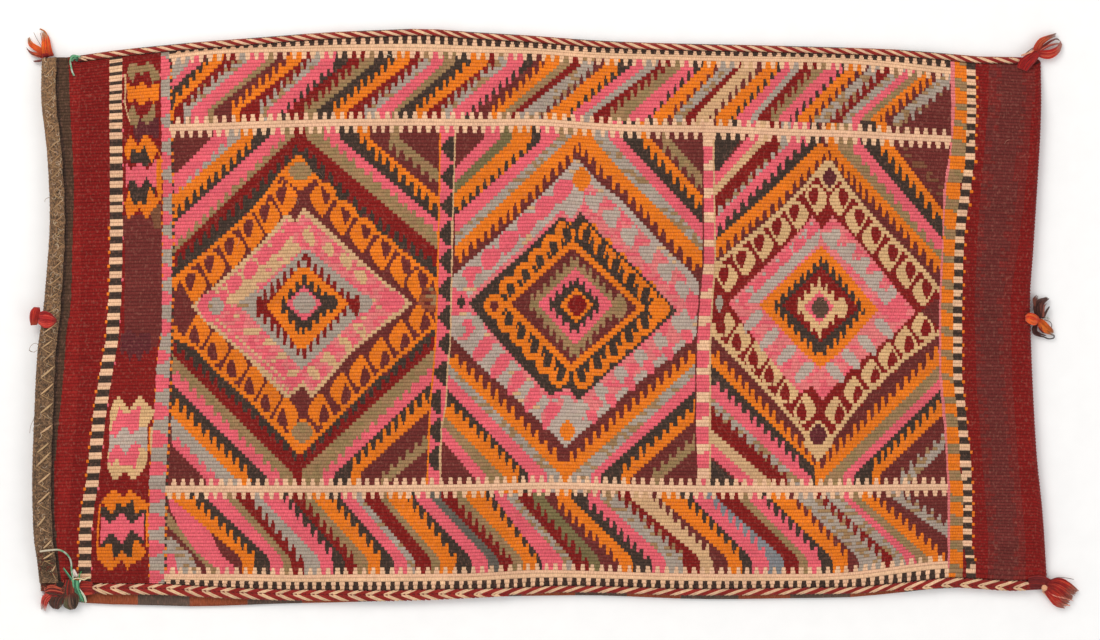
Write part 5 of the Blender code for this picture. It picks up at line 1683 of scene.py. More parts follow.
# ================================================================ materials
def wool_cloth(name, rib_bump=0.5, fuzz=1.0, hem=False):
    """Weft-faced wool: ribs along X, small beads of yarn, heathered fibres, and painted shade in the grooves between
    ribs and the dips between beads.
    """
    n = Nodes(name, rough=0.95, sheen=0.10)
    colour = n.attr("yarn", "Color")
    rib = n.attr("rib")
    crest = n.attr("crest")
    tex = n.new("ShaderNodeTexCoord")
    sep = n.new("ShaderNodeSeparateXYZ")
    n.link(tex.outputs["Object"], sep.inputs[0])
    x = sep.outputs["X"]
    drift = n.noise(60.0, (1, 1, 1), 2.0)
    phase = n.math("ADD", n.math("MULTIPLY", x, 2 * math.pi / (2.55 * MM)), n.math("MULTIPLY", rib, 2.4))
    phase = n.math("ADD", phase, n.math("MULTIPLY", drift, 9.0))
    bead = n.remap(n.math("SINE", phase), -1.0, 1.0, 0.0, 1.0)
    # fibres of the weft run across the ribs
    fibre = n.noise(760.0, (1.0, 0.30, 1.0), 3.0, 0.62)
    speck = n.noise(420.0, (1.0, 0.55, 1.0), 2.0, 0.6)
    patch = n.noise(30.0, (1.0, 1.9, 1.0), 3.0, 0.6)
    wide = n.noise(5.0, (1.0, 1.0, 1.0), 2.0, 0.5)
    # painted shade: the rib grooves (crest 0) are darkened down to 0.64, and the dips between yarn beads a little;
    # fibre, patch and wide add the yarn's own uneven tone
    dark = n.remap(crest, 0.0, 0.5, 0.64, 1.0)
    dark = n.math("MULTIPLY", dark, n.remap(bead, 0.0, 0.7, 0.915, 1.02))
    dark = n.math("MULTIPLY", dark, n.remap(fibre, 0.25, 0.75, 1 - 0.30 * fuzz, 1 + 0.28 * fuzz))
    dark = n.math("MULTIPLY", dark, n.remap(patch, 0.3, 0.7, 0.90, 1.08))
    dark = n.math("MULTIPLY", dark, n.remap(wide, 0.3, 0.7, 0.95, 1.05))
    shade = n.new("ShaderNodeVectorMath", operation="SCALE")
    n.link(colour, shade.inputs[0])
    n.link(dark, shade.inputs["Scale"])
    base = shade.outputs[0]
    # pale specks: fibre tips paled by wear, and partly a painted highlight where they catch a little dusty light
    worn_and_glint = n.remap(speck, 0.53, 0.76, 0.0, 0.20 * fuzz)
    base = n.mix(worn_and_glint, base, srgb(202, 140, 118) if not hem else srgb(168, 140, 112))
    n.link(base, n.bsdf.inputs["Base Color"])
    round_rib = n.math("SQRT", n.math("MAXIMUM", n.math("SUBTRACT", 1.0, n.math("POWER", n.math("SUBTRACT", 1.0, crest), 2.0)), 0.0))
    height = n.math("ADD", n.math("MULTIPLY", bead, 0.30), n.math("MULTIPLY", fibre, 0.85))
    height = n.math("ADD", height, n.math("MULTIPLY", round_rib, 0.5))
    n.link(n.bump(height, rib_bump, 0.8 * MM), n.bsdf.inputs["Normal"])
    return n.mat


def hair_cloth(name):
    """Goat hair, dark and mottled, with stiff light hairs that cross each other, and painted shade in the grooves of
    its ribs.
    """
    n = Nodes(name, rough=0.92, sheen=0.08)
    colour = n.attr("yarn", "Color")
    crest = n.attr("crest")
    a = n.new("ShaderNodeTexWave", wave_type="BANDS", bands_direction="DIAGONAL")
    n.link(n.coords((420.0, 250.0, 0.0)), a.inputs["Vector"])
    a.inputs["Scale"].default_value = 0.9
    a.inputs["Distortion"].default_value = 7.0
    a.inputs["Detail"].default_value = 3.0
    b = n.new("ShaderNodeTexWave", wave_type="BANDS", bands_direction="DIAGONAL")
    n.link(n.coords((-380.0, 260.0, 0.0)), b.inputs["Vector"])
    b.inputs["Scale"].default_value = 1.0
    b.inputs["Distortion"].default_value = 8.0
    b.inputs["Detail"].default_value = 3.0
    hairs = n.math("MAXIMUM", a.outputs["Fac"], b.outputs["Fac"])
    light = n.remap(hairs, 0.80, 1.0, 0.0, 0.55)
    spots = n.noise(300.0, (1, 1, 1), 4.0, 0.7)
    k = n.remap(spots, 0.3, 0.7, 0.55, 1.35)
    # painted shade: the hem's rib grooves (crest 0) are darkened down to 0.70
    k = n.math("MULTIPLY", k, n.remap(crest, 0.0, 0.7, 0.70, 1.0))
    shade = n.new("ShaderNodeVectorMath", operation="SCALE")
    n.link(colour, shade.inputs[0])
    n.link(k, shade.inputs["Scale"])
    base = n.mix(light, shade.outputs[0], srgb(158, 132, 104))
    n.link(base, n.bsdf.inputs["Base Color"])
    height = n.math("ADD", n.math("MULTIPLY", hairs, 0.8), n.math("MULTIPLY", spots, 0.9))
    n.link(n.bump(height, 0.8, 0.9 * MM), n.bsdf.inputs["Normal"])
    return n.mat


def strand_wool(name, rough=0.9, twist=1.0):
    """Loose or plaited yarn; the colour comes with each strand."""
    n = Nodes(name, rough=rough, sheen=0.15)
    colour = n.attr("yarn", "Color")
    fibre = n.noise(1100.0, (1, 1, 1), 3.0, 0.65)
    lump = n.noise(220.0, (1, 1, 1), 2.0, 0.5)
    k = n.math("MULTIPLY", n.remap(fibre, 0.25, 0.75, 0.70, 1.25), n.remap(lump, 0.3, 0.7, 0.84, 1.10))
    shade = n.new("ShaderNodeVectorMath", operation="SCALE")
    n.link(colour, shade.inputs[0])
    n.link(k, shade.inputs["Scale"])
    n.link(shade.outputs[0], n.bsdf.inputs["Base Color"])
    n.link(n.bump(n.math("ADD", fibre, n.math("MULTIPLY", lump, 0.7)), 0.6 * twist, 0.6 * MM), n.bsdf.inputs["Normal"])
    return n.mat


cloth_mats = [wool_cloth("kilim_front_left"), wool_cloth("kilim_front_right"), wool_cloth("kilim_back"),
              hair_cloth("goat_hair_hem"), wool_cloth("kilim_inside", 0.4)]
kilim = finish_mesh("kilim_cloth", V, FACES, F_COL, F_SLOT, F_RIB, CREST_OF, cloth_mats)


def cloth_uv(obj):
    """Each slot has the square to itself, laid out straight down."""
    me = obj.data
    n = len(me.loops)
    co = np.empty(len(me.vertices) * 3)
    me.vertices.foreach_get("co", co)
    co = co.reshape(-1, 3)
    lv = np.empty(n, np.int32)
    me.loops.foreach_get("vertex_index", lv)
    sizes = np.empty(len(me.polygons), np.int32)
    me.polygons.foreach_get("loop_total", sizes)
    mi = np.empty(len(me.polygons), np.int32)
    me.polygons.foreach_get("material_index", mi)
    slot = np.repeat(mi, sizes)
    p = co[lv]
    uv = np.zeros((n, 2))
    for s in range(5):
        m = slot == s
        q = p[m]
        lo, hi = q.min(0), q.max(0)
        u = (q[:, 0] - lo[0]) / (hi[0] - lo[0])
        v = (q[:, 1] - lo[1]) / (hi[1] - lo[1])
        if s == SLOT_HEM:                       # front hem left, back hem right
            face_z = np.repeat(np.array([poly.center.z for poly in me.polygons]), sizes)[m]
            low = face_z < 6.4 * MM
            u = np.where(low, 0.52 + 0.47 * u, 0.01 + 0.47 * u)
        if s == SLOT_IN:
            face_n = np.repeat(np.array([poly.normal.z for poly in me.polygons]), sizes)[m]
            u = np.where(face_n > 0, 0.51 + 0.48 * u, 0.01 + 0.48 * u)
        uv[m, 0], uv[m, 1] = u, v
    layer = me.uv_layers.new(name="OFBake")
    layer.data.foreach_set("uv", uv.ravel())


cloth_uv(kilim)
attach(kilim, "root")
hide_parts("front_panel", "back_panel")


# ============================================================ yarn in bundles
class Yarns:
    """Collects many short strands of yarn into one piece."""

    def __init__(self, name):
        self.name, self.v, self.f, self.c = name, [], [], []

    def strand(self, pts, radii, colour, sides=6, flat=1.0, wave=0.0):
        """A closed tube along points, radius per point; flat squeezes it upright."""
        pts = [Vector(p) for p in pts]
        n = len(pts)
        base = len(self.v)
        ref = Vector((0, 0, 1))
        for i, c in enumerate(pts):
            along = (pts[min(i + 1, n - 1)] - pts[max(i - 1, 0)]).normalized()
            side = along.cross(ref)
            if side.length < 1e-4:
                side = along.cross(Vector((0, 1, 0)))
            side.normalize()
            up = side.cross(along).normalized()
            r = radii[i] if hasattr(radii, "__len__") else radii
            for j in range(sides):
                a = 2 * math.pi * j / sides + wave * i
                self.v.append(c + side * math.cos(a) * r + up * math.sin(a) * r * flat)
        tones = colour if isinstance(colour, list) else [colour] * (n - 1)
        for i in range(n - 1):
            for j in range(sides):
                a, b = base + i * sides + j, base + i * sides + (j + 1) % sides
                self.f.append((a, b, b + sides, a + sides))
                self.c.append(tones[i])
        self.f.append(tuple(range(base + sides - 1, base - 1, -1)))
        last = base + (n - 1) * sides
        self.f.append(tuple(range(last, last + sides)))
        self.c += [tones[0], tones[-1]]

    def blob(self, centre, size, colour, seg=10, rings=7, rough=0.06):
        base = len(self.v)
        c = Vector(centre)
        top = len(self.v)
        self.v.append(c + Vector((0, 0, size[2])))
        for i in range(1, rings):
            th = math.pi * i / rings
            for j in range(seg):
                ph = 2 * math.pi * j / seg
                k = 1 + random.uniform(-rough, rough)
                self.v.append(c + Vector((size[0] * math.sin(th) * math.cos(ph) * k,
                                          size[1] * math.sin(th) * math.sin(ph) * k,
                                          size[2] * math.cos(th))))
        self.v.append(c - Vector((0, 0, size[2])))
        bottom = len(self.v) - 1
        for j in range(seg):
            self.f.append((top, base + 1 + j, base + 1 + (j + 1) % seg))
            self.c.append(colour)
            lastring = base + 1 + (rings - 2) * seg
            self.f.append((bottom, lastring + (j + 1) % seg, lastring + j))
            self.c.append(colour)
        for i in range(rings - 2):
            for j in range(seg):
                a = base + 1 + i * seg + j
                b = base + 1 + i * seg + (j + 1) % seg
                self.f.append((a, a + seg, b + seg, b))
                self.c.append(colour)

    def done(self, mat, node=None, slot=None):
        me = bpy.data.meshes.new(self.name)
        me.from_pydata([tuple(v) for v in self.v], [], self.f)
        me.materials.append(mat)
        bm = bmesh.new()
        bm.from_mesh(me)
        bmesh.ops.recalc_face_normals(bm, faces=bm.faces)
        bm.to_mesh(me)
        bm.free()
        sizes = np.empty(len(me.polygons), np.int32)
        me.polygons.foreach_get("loop_total", sizes)
        col = np.repeat(np.array([(*c, 1.0) for c in self.c], np.float32), sizes, axis=0)
        layer = me.attributes.new("yarn", "FLOAT_COLOR", "CORNER")
        layer.data.foreach_set("color", col.ravel())
        me.polygons.foreach_set("use_smooth", np.ones(len(me.polygons), bool))
        me.update()
        print("%s: %d triangles" % (self.name, int((sizes - 2).sum())))
        obj = link_obj(bpy.data.objects.new(self.name, me))
        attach(obj, "root")
        if node:
            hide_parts(*([node] if isinstance(node, str) else node))
        return obj


# ================================================================ the braids
braid_mat = strand_wool("braid_yarn", 0.92, 1.0)
B_RED, B_CORE_SHADE, B_CREAM = (146, 40, 34), (112, 36, 32), (226, 184, 146)


def tint(rgb, spread=0.06):
    r, g, b = srgb(*rgb)
    k = 1 + random.gauss(0, spread)
    return (r * k, g * k * (1 + random.gauss(0, 0.02)), b * k * (1 + random.gauss(0, 0.02)))


LOW_W = [(80, 12), (430, 11.5), (500, 8.6), (560, 7.6), (860, 7.6), (900, 8.8), (940, 10.5), (1045, 11)]
# where the two rows of the plait meet: -1 at the cloth's edge, 1 at the outer side
LOW_SPINE = [(60, -0.25), (430, -0.22), (480, 0.25), (520, 0.93), (860, 0.93), (905, 0.62), (940, 0.40), (1060, 0.36)]
UP_SPINE = [(60, 0.92), (1060, 0.92)]


def braid(name, upper, x0, x1, period):
    y = Yarns(name)
    out = 1.0 if upper else -1.0
    zb = 3.4 * MM

    def centre(x):
        px = float(PX(x))
        if upper:
            w = 7.0 * MM
            yc = float(upper_side(x)) - w / 2 - 0.5 * MM
        else:
            w = float(lin(LOW_W, px)) * S * 0.97
            yc = float(edge_y(x, False, True)) - w / 2 - 0.1 * MM
        zz = float(back_mid(x, yc)) + HALF + GAP
        ends = min(1.0, (x - x0) / (14 * MM) + 0.35, (x1 - x) / (12 * MM) + 0.35)
        return yc, zz, w * ends, BRAID_H * (0.55 + 0.45 * ends)

    def skin(x, c, sink, dip):
        """A point under the braid's rounded skin, c from -1 inside to 1 outside."""
        yc, zz, w, h = centre(x)
        v = max(1.0 - abs(c) ** 2.4, 0.0) ** 0.5
        return (x, yc + out * c * (w / 2 - sink * 0.8), zz + h / 2 + (h / 2 - sink) * v - dip)

    # a plain core that fills the plait; its dark red, seen in the gaps between the bundles, is painted shade
    n = int((x1 - x0) / (9 * MM))
    pts, radii = [], []
    for i in range(n + 1):
        x = x0 + (x1 - x0) * i / n
        yc, zz, w, h = centre(x)
        pts.append((x, yc, zz + h / 2))
        radii.append(w * 0.36)
    y.strand(pts, radii, tint(B_CORE_SHADE, 0.0), 10, flat=0.56)
    # Slender bundles in two rows, whose tips point to the mouth: in each
    # period two cream yarns and two red ones, side by side.
    yarns = ((0.00, B_CREAM, 1.12), (0.215, B_CREAM, 1.12), (0.46, B_RED, 1.26), (0.735, B_RED, 1.26))
    x = x0 - 14 * MM
    while x < x1 - 2 * MM:
        this = period * random.uniform(0.95, 1.05)
        tones = {B_CREAM: random.uniform(0.93, 1.06), B_RED: random.uniform(0.86, 1.12)}
        for off, rgb, thick in yarns:
            xs = x + off * this
            spine = float(lin(UP_SPINE if upper else LOW_SPINE, float(PX(min(max(xs, x0), x1)))))
            r = thick * MM * random.uniform(0.94, 1.06) * (0.93 if upper else 1.0)
            for row in (1, -1):
                goal = -1.0 if row > 0 else 1.0
                if abs(goal - spine) < 0.3:
                    continue
                _, _, w, h = centre(min(max(xs, x0), x1))
                run = abs(goal - spine) * w / 2
                slant = run / (0.46 if row < 0 else 0.40) * random.uniform(0.95, 1.05) + 1.5 * MM
                colour = tuple(v * tones[rgb] for v in tint(rgb, 0.05))
                pts, radii = [], []
                for i in range(9):
                    t = i / 8
                    xx = xs + slant * (t + 0.10 * t * t) / 1.1
                    if not x0 + 0.3 * MM <= xx <= x1 - 0.3 * MM:
                        continue
                    c = spine + (goal * 0.96 - spine) * t ** 0.92
                    sink = r * 0.62
                    dip = 1.3 * MM * max(0.0, 0.14 - t) / 0.14 + 1.6 * MM * max(0.0, t - 0.86) / 0.14
                    pts.append(skin(xx, c, sink, dip))
                    radii.append(r * (0.62 + 0.38 * min(1.0, t / 0.2, (1.06 - t) / 0.2)))
                if len(pts) > 3:
                    y.strand(pts, radii, colour, 8, flat=0.78)
        x += this
    obj = y.done(braid_mat, "upper_seam_braid" if upper else "lower_seam_braid", "braid_wool")
    return obj


upper_braid = braid("upper_plait", True, -0.5235, 0.519, 15.3 * S)
lower_braid = braid("lower_plait", False, -0.5115, 0.5275, 18.0 * S)

# ============================================================ hem stitching
stitch_mat = strand_wool("hem_yarn", 0.9, 1.0)
TAN, TAN_L = (176, 138, 98), (196, 160, 118)
hem = Yarns("hem_zigzag")


def on_hem(px, py, lift=0.7):
    x, y = float(MX(px)), float(MY(py))
    rim = float(mouth_rim(y))
    x = max(x, rim + 1.2 * MM)
    f = 1.0 - (x - rim - RIM_IN) / (float(hem_width(y)) - RIM_IN)
    return Vector((x, y, float(hem_top(max(x, rim + RIM_IN), y)) + float(hem_lumps(y, f)) + lift * MM))


def hem_left(py):
    return float(PX(mouth_rim(MY(py))))


def hem_stitch(p, q, r, col):
    pts, radii = [], []
    for i in range(8):
        t = i / 7
        bow = math.sin(math.pi * t)
        pts.append(on_hem(p[0] + (q[0] - p[0]) * t, p[1] + (q[1] - p[1]) * t + 0.5 * bow,
                          -0.30 + (0.60 + r * 0.75) * bow))
        radii.append(r * MM * (0.55 + 0.45 * bow))
    hem.strand(pts, radii, tint(col, 0.08), 7, flat=0.8)


def hem_px(py):
    return float(hem_width(MY(py))) / S


for y_from, y_to in ((66.0, 288.0), (350.0, 396.0)):
    y_px = y_from
    while y_px < y_to:
        left, wide = hem_left(y_px), hem_px(y_px) - 0.9
        big = float(ease(300.0, 420.0, y_px))
        pitch = 15.0 + 2.6 * big + random.uniform(-0.9, 0.9)
        a = (left + wide + random.uniform(-0.6, 0.3), y_px)
        b = (left + 0.30 * wide + random.uniform(-0.8, 0.8), y_px + pitch * (0.60 + 0.08 * random.random()))
        c = (left + wide + random.uniform(-0.6, 0.3), y_px + pitch)
        hem_stitch(a, b, 0.62 + 0.62 * big, TAN_L if big > 0.5 else TAN)
        hem_stitch(b, c, 0.46, TAN)
        y_px += pitch
for p, q, r in (((58, 293), (50, 298), 0.62), ((53, 300), (58, 303), 0.55), ((58.6, 307), (48, 313), 0.72), ((57, 323), (44, 333), 0.85),
                ((53, 340), (42, 348), 0.85), ((54, 403), (41, 413), 1.15), ((53, 425), (41, 433), 1.15), ((49, 443), (38, 452), 1.0),
                ((54, 452), (37, 466), 1.2), ((54, 473), (39, 483), 1.2), ((50, 492), (38, 503), 1.15), ((46, 516), (38, 526), 1.1),
                ((52, 540), (44, 548), 1.1), ((55, 552), (43, 559), 1.0), ((43, 561), (52, 559.6), 0.6), ((58, 565), (52, 572), 0.9)):
    edge = hem_left(p[1]) + hem_px(p[1]) - 0.9
    hem_stitch((min(p[0], edge), p[1]), (max(q[0], hem_left(q[1]) + 1.4), q[1]), r, TAN_L if r > 0.8 else TAN)
    if r > 0.8:
        # the thin thread that goes back to the next stitch
        yn = q[1] + 6.5
        hem_stitch((max(q[0], hem_left(q[1]) + 1.4) + 0.6, q[1]), (hem_left(yn) + hem_px(yn) - 2.0, yn), 0.55, TAN)
# short curly hairs of the goat-hair hem, close together in its upper part
y_px = 62.0
while y_px < 572:
    left, wide = hem_left(y_px), hem_px(y_px)
    px = left + random.uniform(0.18, 0.86) * wide
    ang, bend = random.uniform(0.0, 2 * math.pi), random.choice((-1, 1)) * random.uniform(0.5, 1.3)
    pts = []
    py = y_px
    for i in range(7):
        edge = hem_left(py) + hem_px(py) - 0.8
        pts.append(on_hem(min(max(px, hem_left(py) + 1.6), edge), py, -0.12 + 0.55 * math.sin(math.pi * i / 6)))
        px += 1.15 * math.cos(ang)
        py += 1.15 * math.sin(ang)
        ang += bend * 0.55
    hem.strand(pts, 0.30 * MM, tint(random.choice(((190, 164, 138), (176, 138, 98), (206, 180, 150))), 0.08), 5)
    y_px += random.uniform(1.6, 3.2) if y_px < 330 else random.uniform(4.0, 8.0)
# dark fuzz on the hem's lower end
for k in range(90):
    py = random.uniform(556, 574)
    px = hem_left(py) + random.uniform(0.1, 0.95) * hem_px(py)
    ang, pts = random.uniform(0.0, 2 * math.pi), []
    for i in range(5):
        edge = hem_left(py) + hem_px(py) - 0.6
        pts.append(on_hem(min(max(px, hem_left(py) + 1.2), edge), min(py, 575.0), 0.05 + 0.75 * math.sin(math.pi * i / 4)))
        px += 1.1 * math.cos(ang)
        py += 1.1 * math.sin(ang)
        ang += random.uniform(-0.7, 0.7)
    hem.strand(pts, 0.30 * MM, tint(random.choice(((62, 46, 36), (86, 66, 50), (112, 88, 64), (128, 48, 38)))), 5)
hem_obj = hem.done(stitch_mat, "front_hem_stitching", "hem_thread")

under = Yarns("hem_running_stitch")
i = 0
yy = -0.283
while yy < 0.266:
    pts, radii = [], []
    length = random.uniform(7.0, 9.0) * MM
    for s in range(6):
        t = s / 5
        y = yy + length * t
        x = float(mouth_rim(y)) + HEM + 1.6 * MM
        pts.append((x + random.uniform(-0.1, 0.1) * MM, y, (1.35 + 0.25 * math.cos(math.pi * 2 * t)) * MM))
        radii.append((0.55 + 0.25 * math.sin(math.pi * t)) * MM)
    under.strand(pts, radii, tint(TAN, 0.08), 6)
    yy += length + 1.6 * MM
under.done(stitch_mat, "back_hem_stitching", "hem_thread")

# ===================================================================== tufts
tuft_mat = strand_wool("tassel_yarn", 0.88, 0.8)
tie_mat_yarn = strand_wool("tie_fray_yarn", 0.85, 0.6)
T_ORANGE, T_RED, T_DARK, T_CREAM, T_GREY = (232, 104, 38), (176, 40, 32), (70, 44, 40), (222, 176, 138), (138, 118, 100)
T_ORED, T_BRED = (214, 72, 34), (200, 56, 40)


def tuft(y, spine, root_r, tip_r, count, colours, radius=0.62, curl=1.0, length=(0.75, 1.0), start=0.0):
    """Strands that follow a spine, close at the root and spread at the tip."""
    centre = curve_points(spine, 15)
    for s in range(count):
        ang = random.uniform(0, 2 * math.pi)
        rad = math.sqrt(random.random())
        reach = random.uniform(*length)
        twist = random.uniform(-1.2, 1.2) * curl
        ph = random.uniform(0, 6.28)
        pts, radii = [], []
        steps = 9
        for i in range(steps):
            t = start + (reach - start) * i / (steps - 1)
            f = t * (len(centre) - 1)
            k = min(int(f), len(centre) - 2)
            c = centre[k].lerp(centre[k + 1], f - k)
            along = (centre[k + 1] - centre[k]).normalized()
            side = along.cross(Vector((0, 0, 1))).normalized()
            up = side.cross(along).normalized()
            spread = (root_r + (tip_r - root_r) * t ** 1.2) * rad
            a = ang + twist * t
            w = math.sin(ph + t * 7.0) * 0.35 * curl * t * MM
            q = c + side * (math.cos(a) * spread + w) + up * (math.sin(a) * spread * 0.62)
            q.z = max(q.z, radius * MM * 1.05)
            pts.append(q)
            radii.append(radius * MM * (1.0 - 0.55 * max(0.0, (i / (steps - 1)) - 0.55) / 0.45))
        y.strand(pts, radii, tint(random.choice(colours), 0.09), 5)


def wrap(y, centre, axis, r, turns, colours, radius=1.3, length=5.0, squash=0.7):
    """Yarn wound round a knot."""
    axis = Vector(axis).normalized()
    side = axis.cross(Vector((0, 0, 1))).normalized()
    up = side.cross(axis).normalized()
    for k in range(turns):
        off = (k / max(turns - 1, 1) - 0.5) * length * MM
        rr = r * MM * (1.0 - 0.35 * abs(2 * k / max(turns - 1, 1) - 1) ** 2)
        pts = []
        tilt = random.uniform(-0.35, 0.35)
        for i in range(13):
            a = 2 * math.pi * i / 12
            pts.append(Vector(centre) + axis * (off + tilt * rr * math.cos(a) * 0.5)
                       + side * math.cos(a) * rr + up * math.sin(a) * rr * squash)
        y.strand(pts, radius * MM, tint(random.choice(colours), 0.07), 6)


def q3(x, y, z):
    return (x * MM, y * MM, z * MM)


def at_px(px, py, z):
    return (float(MX(px)), float(MY(py)), z * MM)


def blend(a, b, k):
    return tuple(u + (v - u) * k for u, v in zip(a, b))


def fan(y, a, b, zs, count, colours, radius=0.58, puff=2.4, reach=(0.82, 1.0), clumps=0, root=None, tip=None, taper=0.6, wave=1.0):
    """Strands that fill the room between two edge lines, given in photo pixels."""
    ca = curve_points([at_px(p[0], p[1], z) for p, z in zip(a, zs)], 17)
    cb = curve_points([at_px(p[0], p[1], z) for p, z in zip(b, zs)], 17)
    for s in range(count):
        u = (s + random.random()) / count
        goal = u if not clumps else (math.floor(u * clumps) + 0.5 + random.uniform(-0.12, 0.12)) / clumps
        lift, stop = random.uniform(-1, 1), random.uniform(*reach)
        drift, ph = random.uniform(-0.10, 0.10), random.uniform(0, 6.28)
        base = tint(random.choice(colours), 0.09)
        pts, radii, tones = [], [], []
        for i in range(12):
            g = i / 11
            t = stop * g
            k = min(int(t * 16), 15)
            f = t * 16 - k
            uu = u + (goal - u) * 0.75 * t * t + (drift * t + 0.035 * math.sin(ph + 5.0 * t) * t) * wave
            c = ca[k].lerp(ca[k + 1], f).lerp(cb[k].lerp(cb[k + 1], f), uu)
            belly = math.sqrt(max(0.0, 1 - (2 * u - 1) ** 2)) * puff * math.sin(math.pi * min(1.0, 0.22 + 0.70 * t))
            c.z = max(c.z + lift * belly * MM, radius * MM * 1.1)
            pts.append(c)
            radii.append(radius * MM * (1.0 - taper * max(0.0, g - 0.55) / 0.45))
            tone = base
            if root is not None:
                tone = blend(srgb(*root), tone, min(1.0, t / 0.42))
            if tip is not None:
                tone = blend(tone, srgb(*tip), max(0.0, (g - 0.72) / 0.28) * random.uniform(0.5, 1.0))
            if i:
                tones.append(tone)
        y.strand(pts, radii, tones, 5)


def hairs(y, line, zs, count, colours, radius=0.35, spread=0.35):
    """A few loose threads along one line of photo pixels."""
    for _ in range(count):
        ox, oy = random.uniform(-spread, spread), random.uniform(-spread, spread)
        n = len(line) - 1
        pts = [at_px(p[0] + ox * (0.5 + i / n), p[1] + oy * (0.5 + i / n), z) for i, (p, z) in enumerate(zip(line, zs))]
        fine = curve_points(pts, 12)
        y.strand(fine, [radius * MM * (1 - 0.45 * i / 11) for i in range(12)], tint(random.choice(colours), 0.08), 5)


# mouth, upper corner: a dark red knot, orange locks and loose grey threads
CRIMSON = (150, 30, 28)
t = Yarns("mouth_corner_yarn")
t.blob(at_px(45.5, 54.6, 6.6), (4.8 * MM, 3.4 * MM, 3.4 * MM), tint((128, 30, 30)))
fan(t, [(42, 57.5), (41.3, 50), (41, 43), (41.5, 37), (40.6, 32)], [(53, 55.5), (50.8, 48), (49.2, 41), (47.6, 35), (43.5, 30.8)],
    [6.8, 7.2, 6.0, 4.6, 3.0], 78, [T_ORANGE, T_ORANGE, (222, 112, 34), T_ORED], 0.56, 2.8, (0.86, 1.0), 3, CRIMSON, (176, 150, 120))
fan(t, [(46, 50.5), (40, 47.0), (34, 43.6), (30.8, 40.2), (28.8, 36.2)], [(41.5, 56), (36, 51.2), (31, 47.6), (27.4, 43.8), (26.8, 37.6)],
    [6.6, 6.2, 5.2, 4.2, 3.0], 58, [T_ORANGE, (214, 100, 36), T_ORED], 0.54, 2.2, (0.86, 1.0), 2, CRIMSON, (176, 150, 120))
fan(t, [(45, 53.5), (38, 52.6), (32, 51.4), (28, 49.3), (25.2, 46.4)], [(42, 58), (36, 56.2), (31, 54.4), (28, 51.8), (26, 48.6)],
    [6.2, 5.6, 4.6, 3.6, 2.6], 26, [(166, 62, 48), (150, 84, 66), (196, 84, 44)], 0.48, 1.6, (0.7, 1.0), 2, CRIMSON, (120, 104, 96))
hairs(t, [(44, 50), (45.6, 42), (46.4, 36), (44.4, 31.4), (39, 28.3)], [7.6, 7.4, 6, 4.4, 3], 5, [(150, 120, 90), (196, 110, 50)], 0.42)
hairs(t, [(43, 50), (39.5, 43.5), (36, 37.6), (33.4, 32)], [7, 6, 4.6, 3.4], 3, [(140, 122, 108)], 0.38)
hairs(t, [(42.5, 49), (41.2, 41), (40.4, 36), (39.6, 32.4)], [7, 6, 4.6, 3.4], 3, [(170, 140, 130)], 0.36)
fan(t, [(45, 57.5), (39, 59.6), (32, 60.2)], [(44, 59.2), (39, 61.4), (32, 61.4)], [6.6, 5, 3], 10, [(120, 62, 60), (140, 90, 84)], 0.5, 1.0)
t.done(tuft_mat, "mouth_corner_tassel", "tassel_orange")

# bottom, upper corner: a red knot on the cloth and a lock that opens like a leaf
zt = float(front_top(0.521, 0.274)) / MM
t = Yarns("bottom_upper_yarn")
fan(t, [(1017.5, 67.5), (1020.5, 60), (1027, 55.4), (1034, 49.5)], [(1027, 71), (1032.5, 64), (1037, 58.5), (1040.5, 54)],
    [zt + 1.2, zt + 3.6, zt + 3.2, 9.0], 64, [T_RED, (152, 30, 30), (168, 36, 32), (140, 28, 28)], 0.92, 2.4, (0.97, 1.0), 0, None, None, 0.2)
hairs(t, [(1022, 55.2), (1027, 53.4), (1031, 51.6), (1036, 50)], [zt + 1.5, zt + 3.4, 11, 9.4], 5, [(232, 176, 146), (222, 160, 126)], 0.85, 0.8)
hairs(t, [(1024, 55), (1028.5, 51), (1033.5, 47.6)], [zt, 9.6, 8.6], 3, [(110, 84, 70)], 0.42)
fan(t, [(1032.6, 51.5), (1035.4, 44.5), (1040, 38.6), (1047, 35.6), (1057.4, 32.2)], [(1040, 51), (1041.5, 46), (1046, 41.2), (1051, 38.2), (1056.5, 35.9)],
    [9.0, 9.4, 8.0, 5.8, 3.4], 74, [(196, 78, 48), (176, 58, 42), (208, 100, 62), (168, 50, 40)], 0.56, 2.6, (0.84, 1.0), 3, (160, 34, 30), (150, 124, 112))
fan(t, [(1038, 50), (1046, 50.4), (1053, 49), (1058.4, 45.4), (1061.4, 40)], [(1036.5, 55), (1043.5, 57.8), (1051.5, 58), (1060, 52.4), (1063.2, 43.6)],
    [9.0, 7.6, 6.2, 4.8, 3.4], 84, [(198, 50, 38), (210, 74, 48), (176, 36, 34), (216, 104, 78)], 0.58, 2.4, (0.84, 1.0), 4, (150, 30, 30), (168, 134, 122))
fan(t, [(1039, 48.6), (1046, 43), (1052, 39.6), (1058, 37.8), (1062, 41)], [(1040, 50), (1047, 44.8), (1052.4, 41), (1058, 39), (1061, 42)],
    [9, 8, 6.4, 4.8, 3.6], 12, [(120, 44, 38), (96, 48, 40), (160, 66, 54)], 0.42, 1.0, (0.85, 1.0), 0, None, (140, 124, 114))
fan(t, [(1041, 49), (1048, 44.8), (1054, 43.4), (1059, 42.6), (1062.4, 45)], [(1042, 50.6), (1049, 46.4), (1054, 45), (1059, 44), (1061.6, 46)],
    [9, 8, 6.4, 4.8, 3.6], 14, [(170, 60, 52), (120, 44, 38), (200, 110, 90)], 0.42, 1.0, (0.85, 1.0), 0, None, (140, 124, 114))
t.done(tuft_mat, "bottom_upper_tassel", "tassel_red")

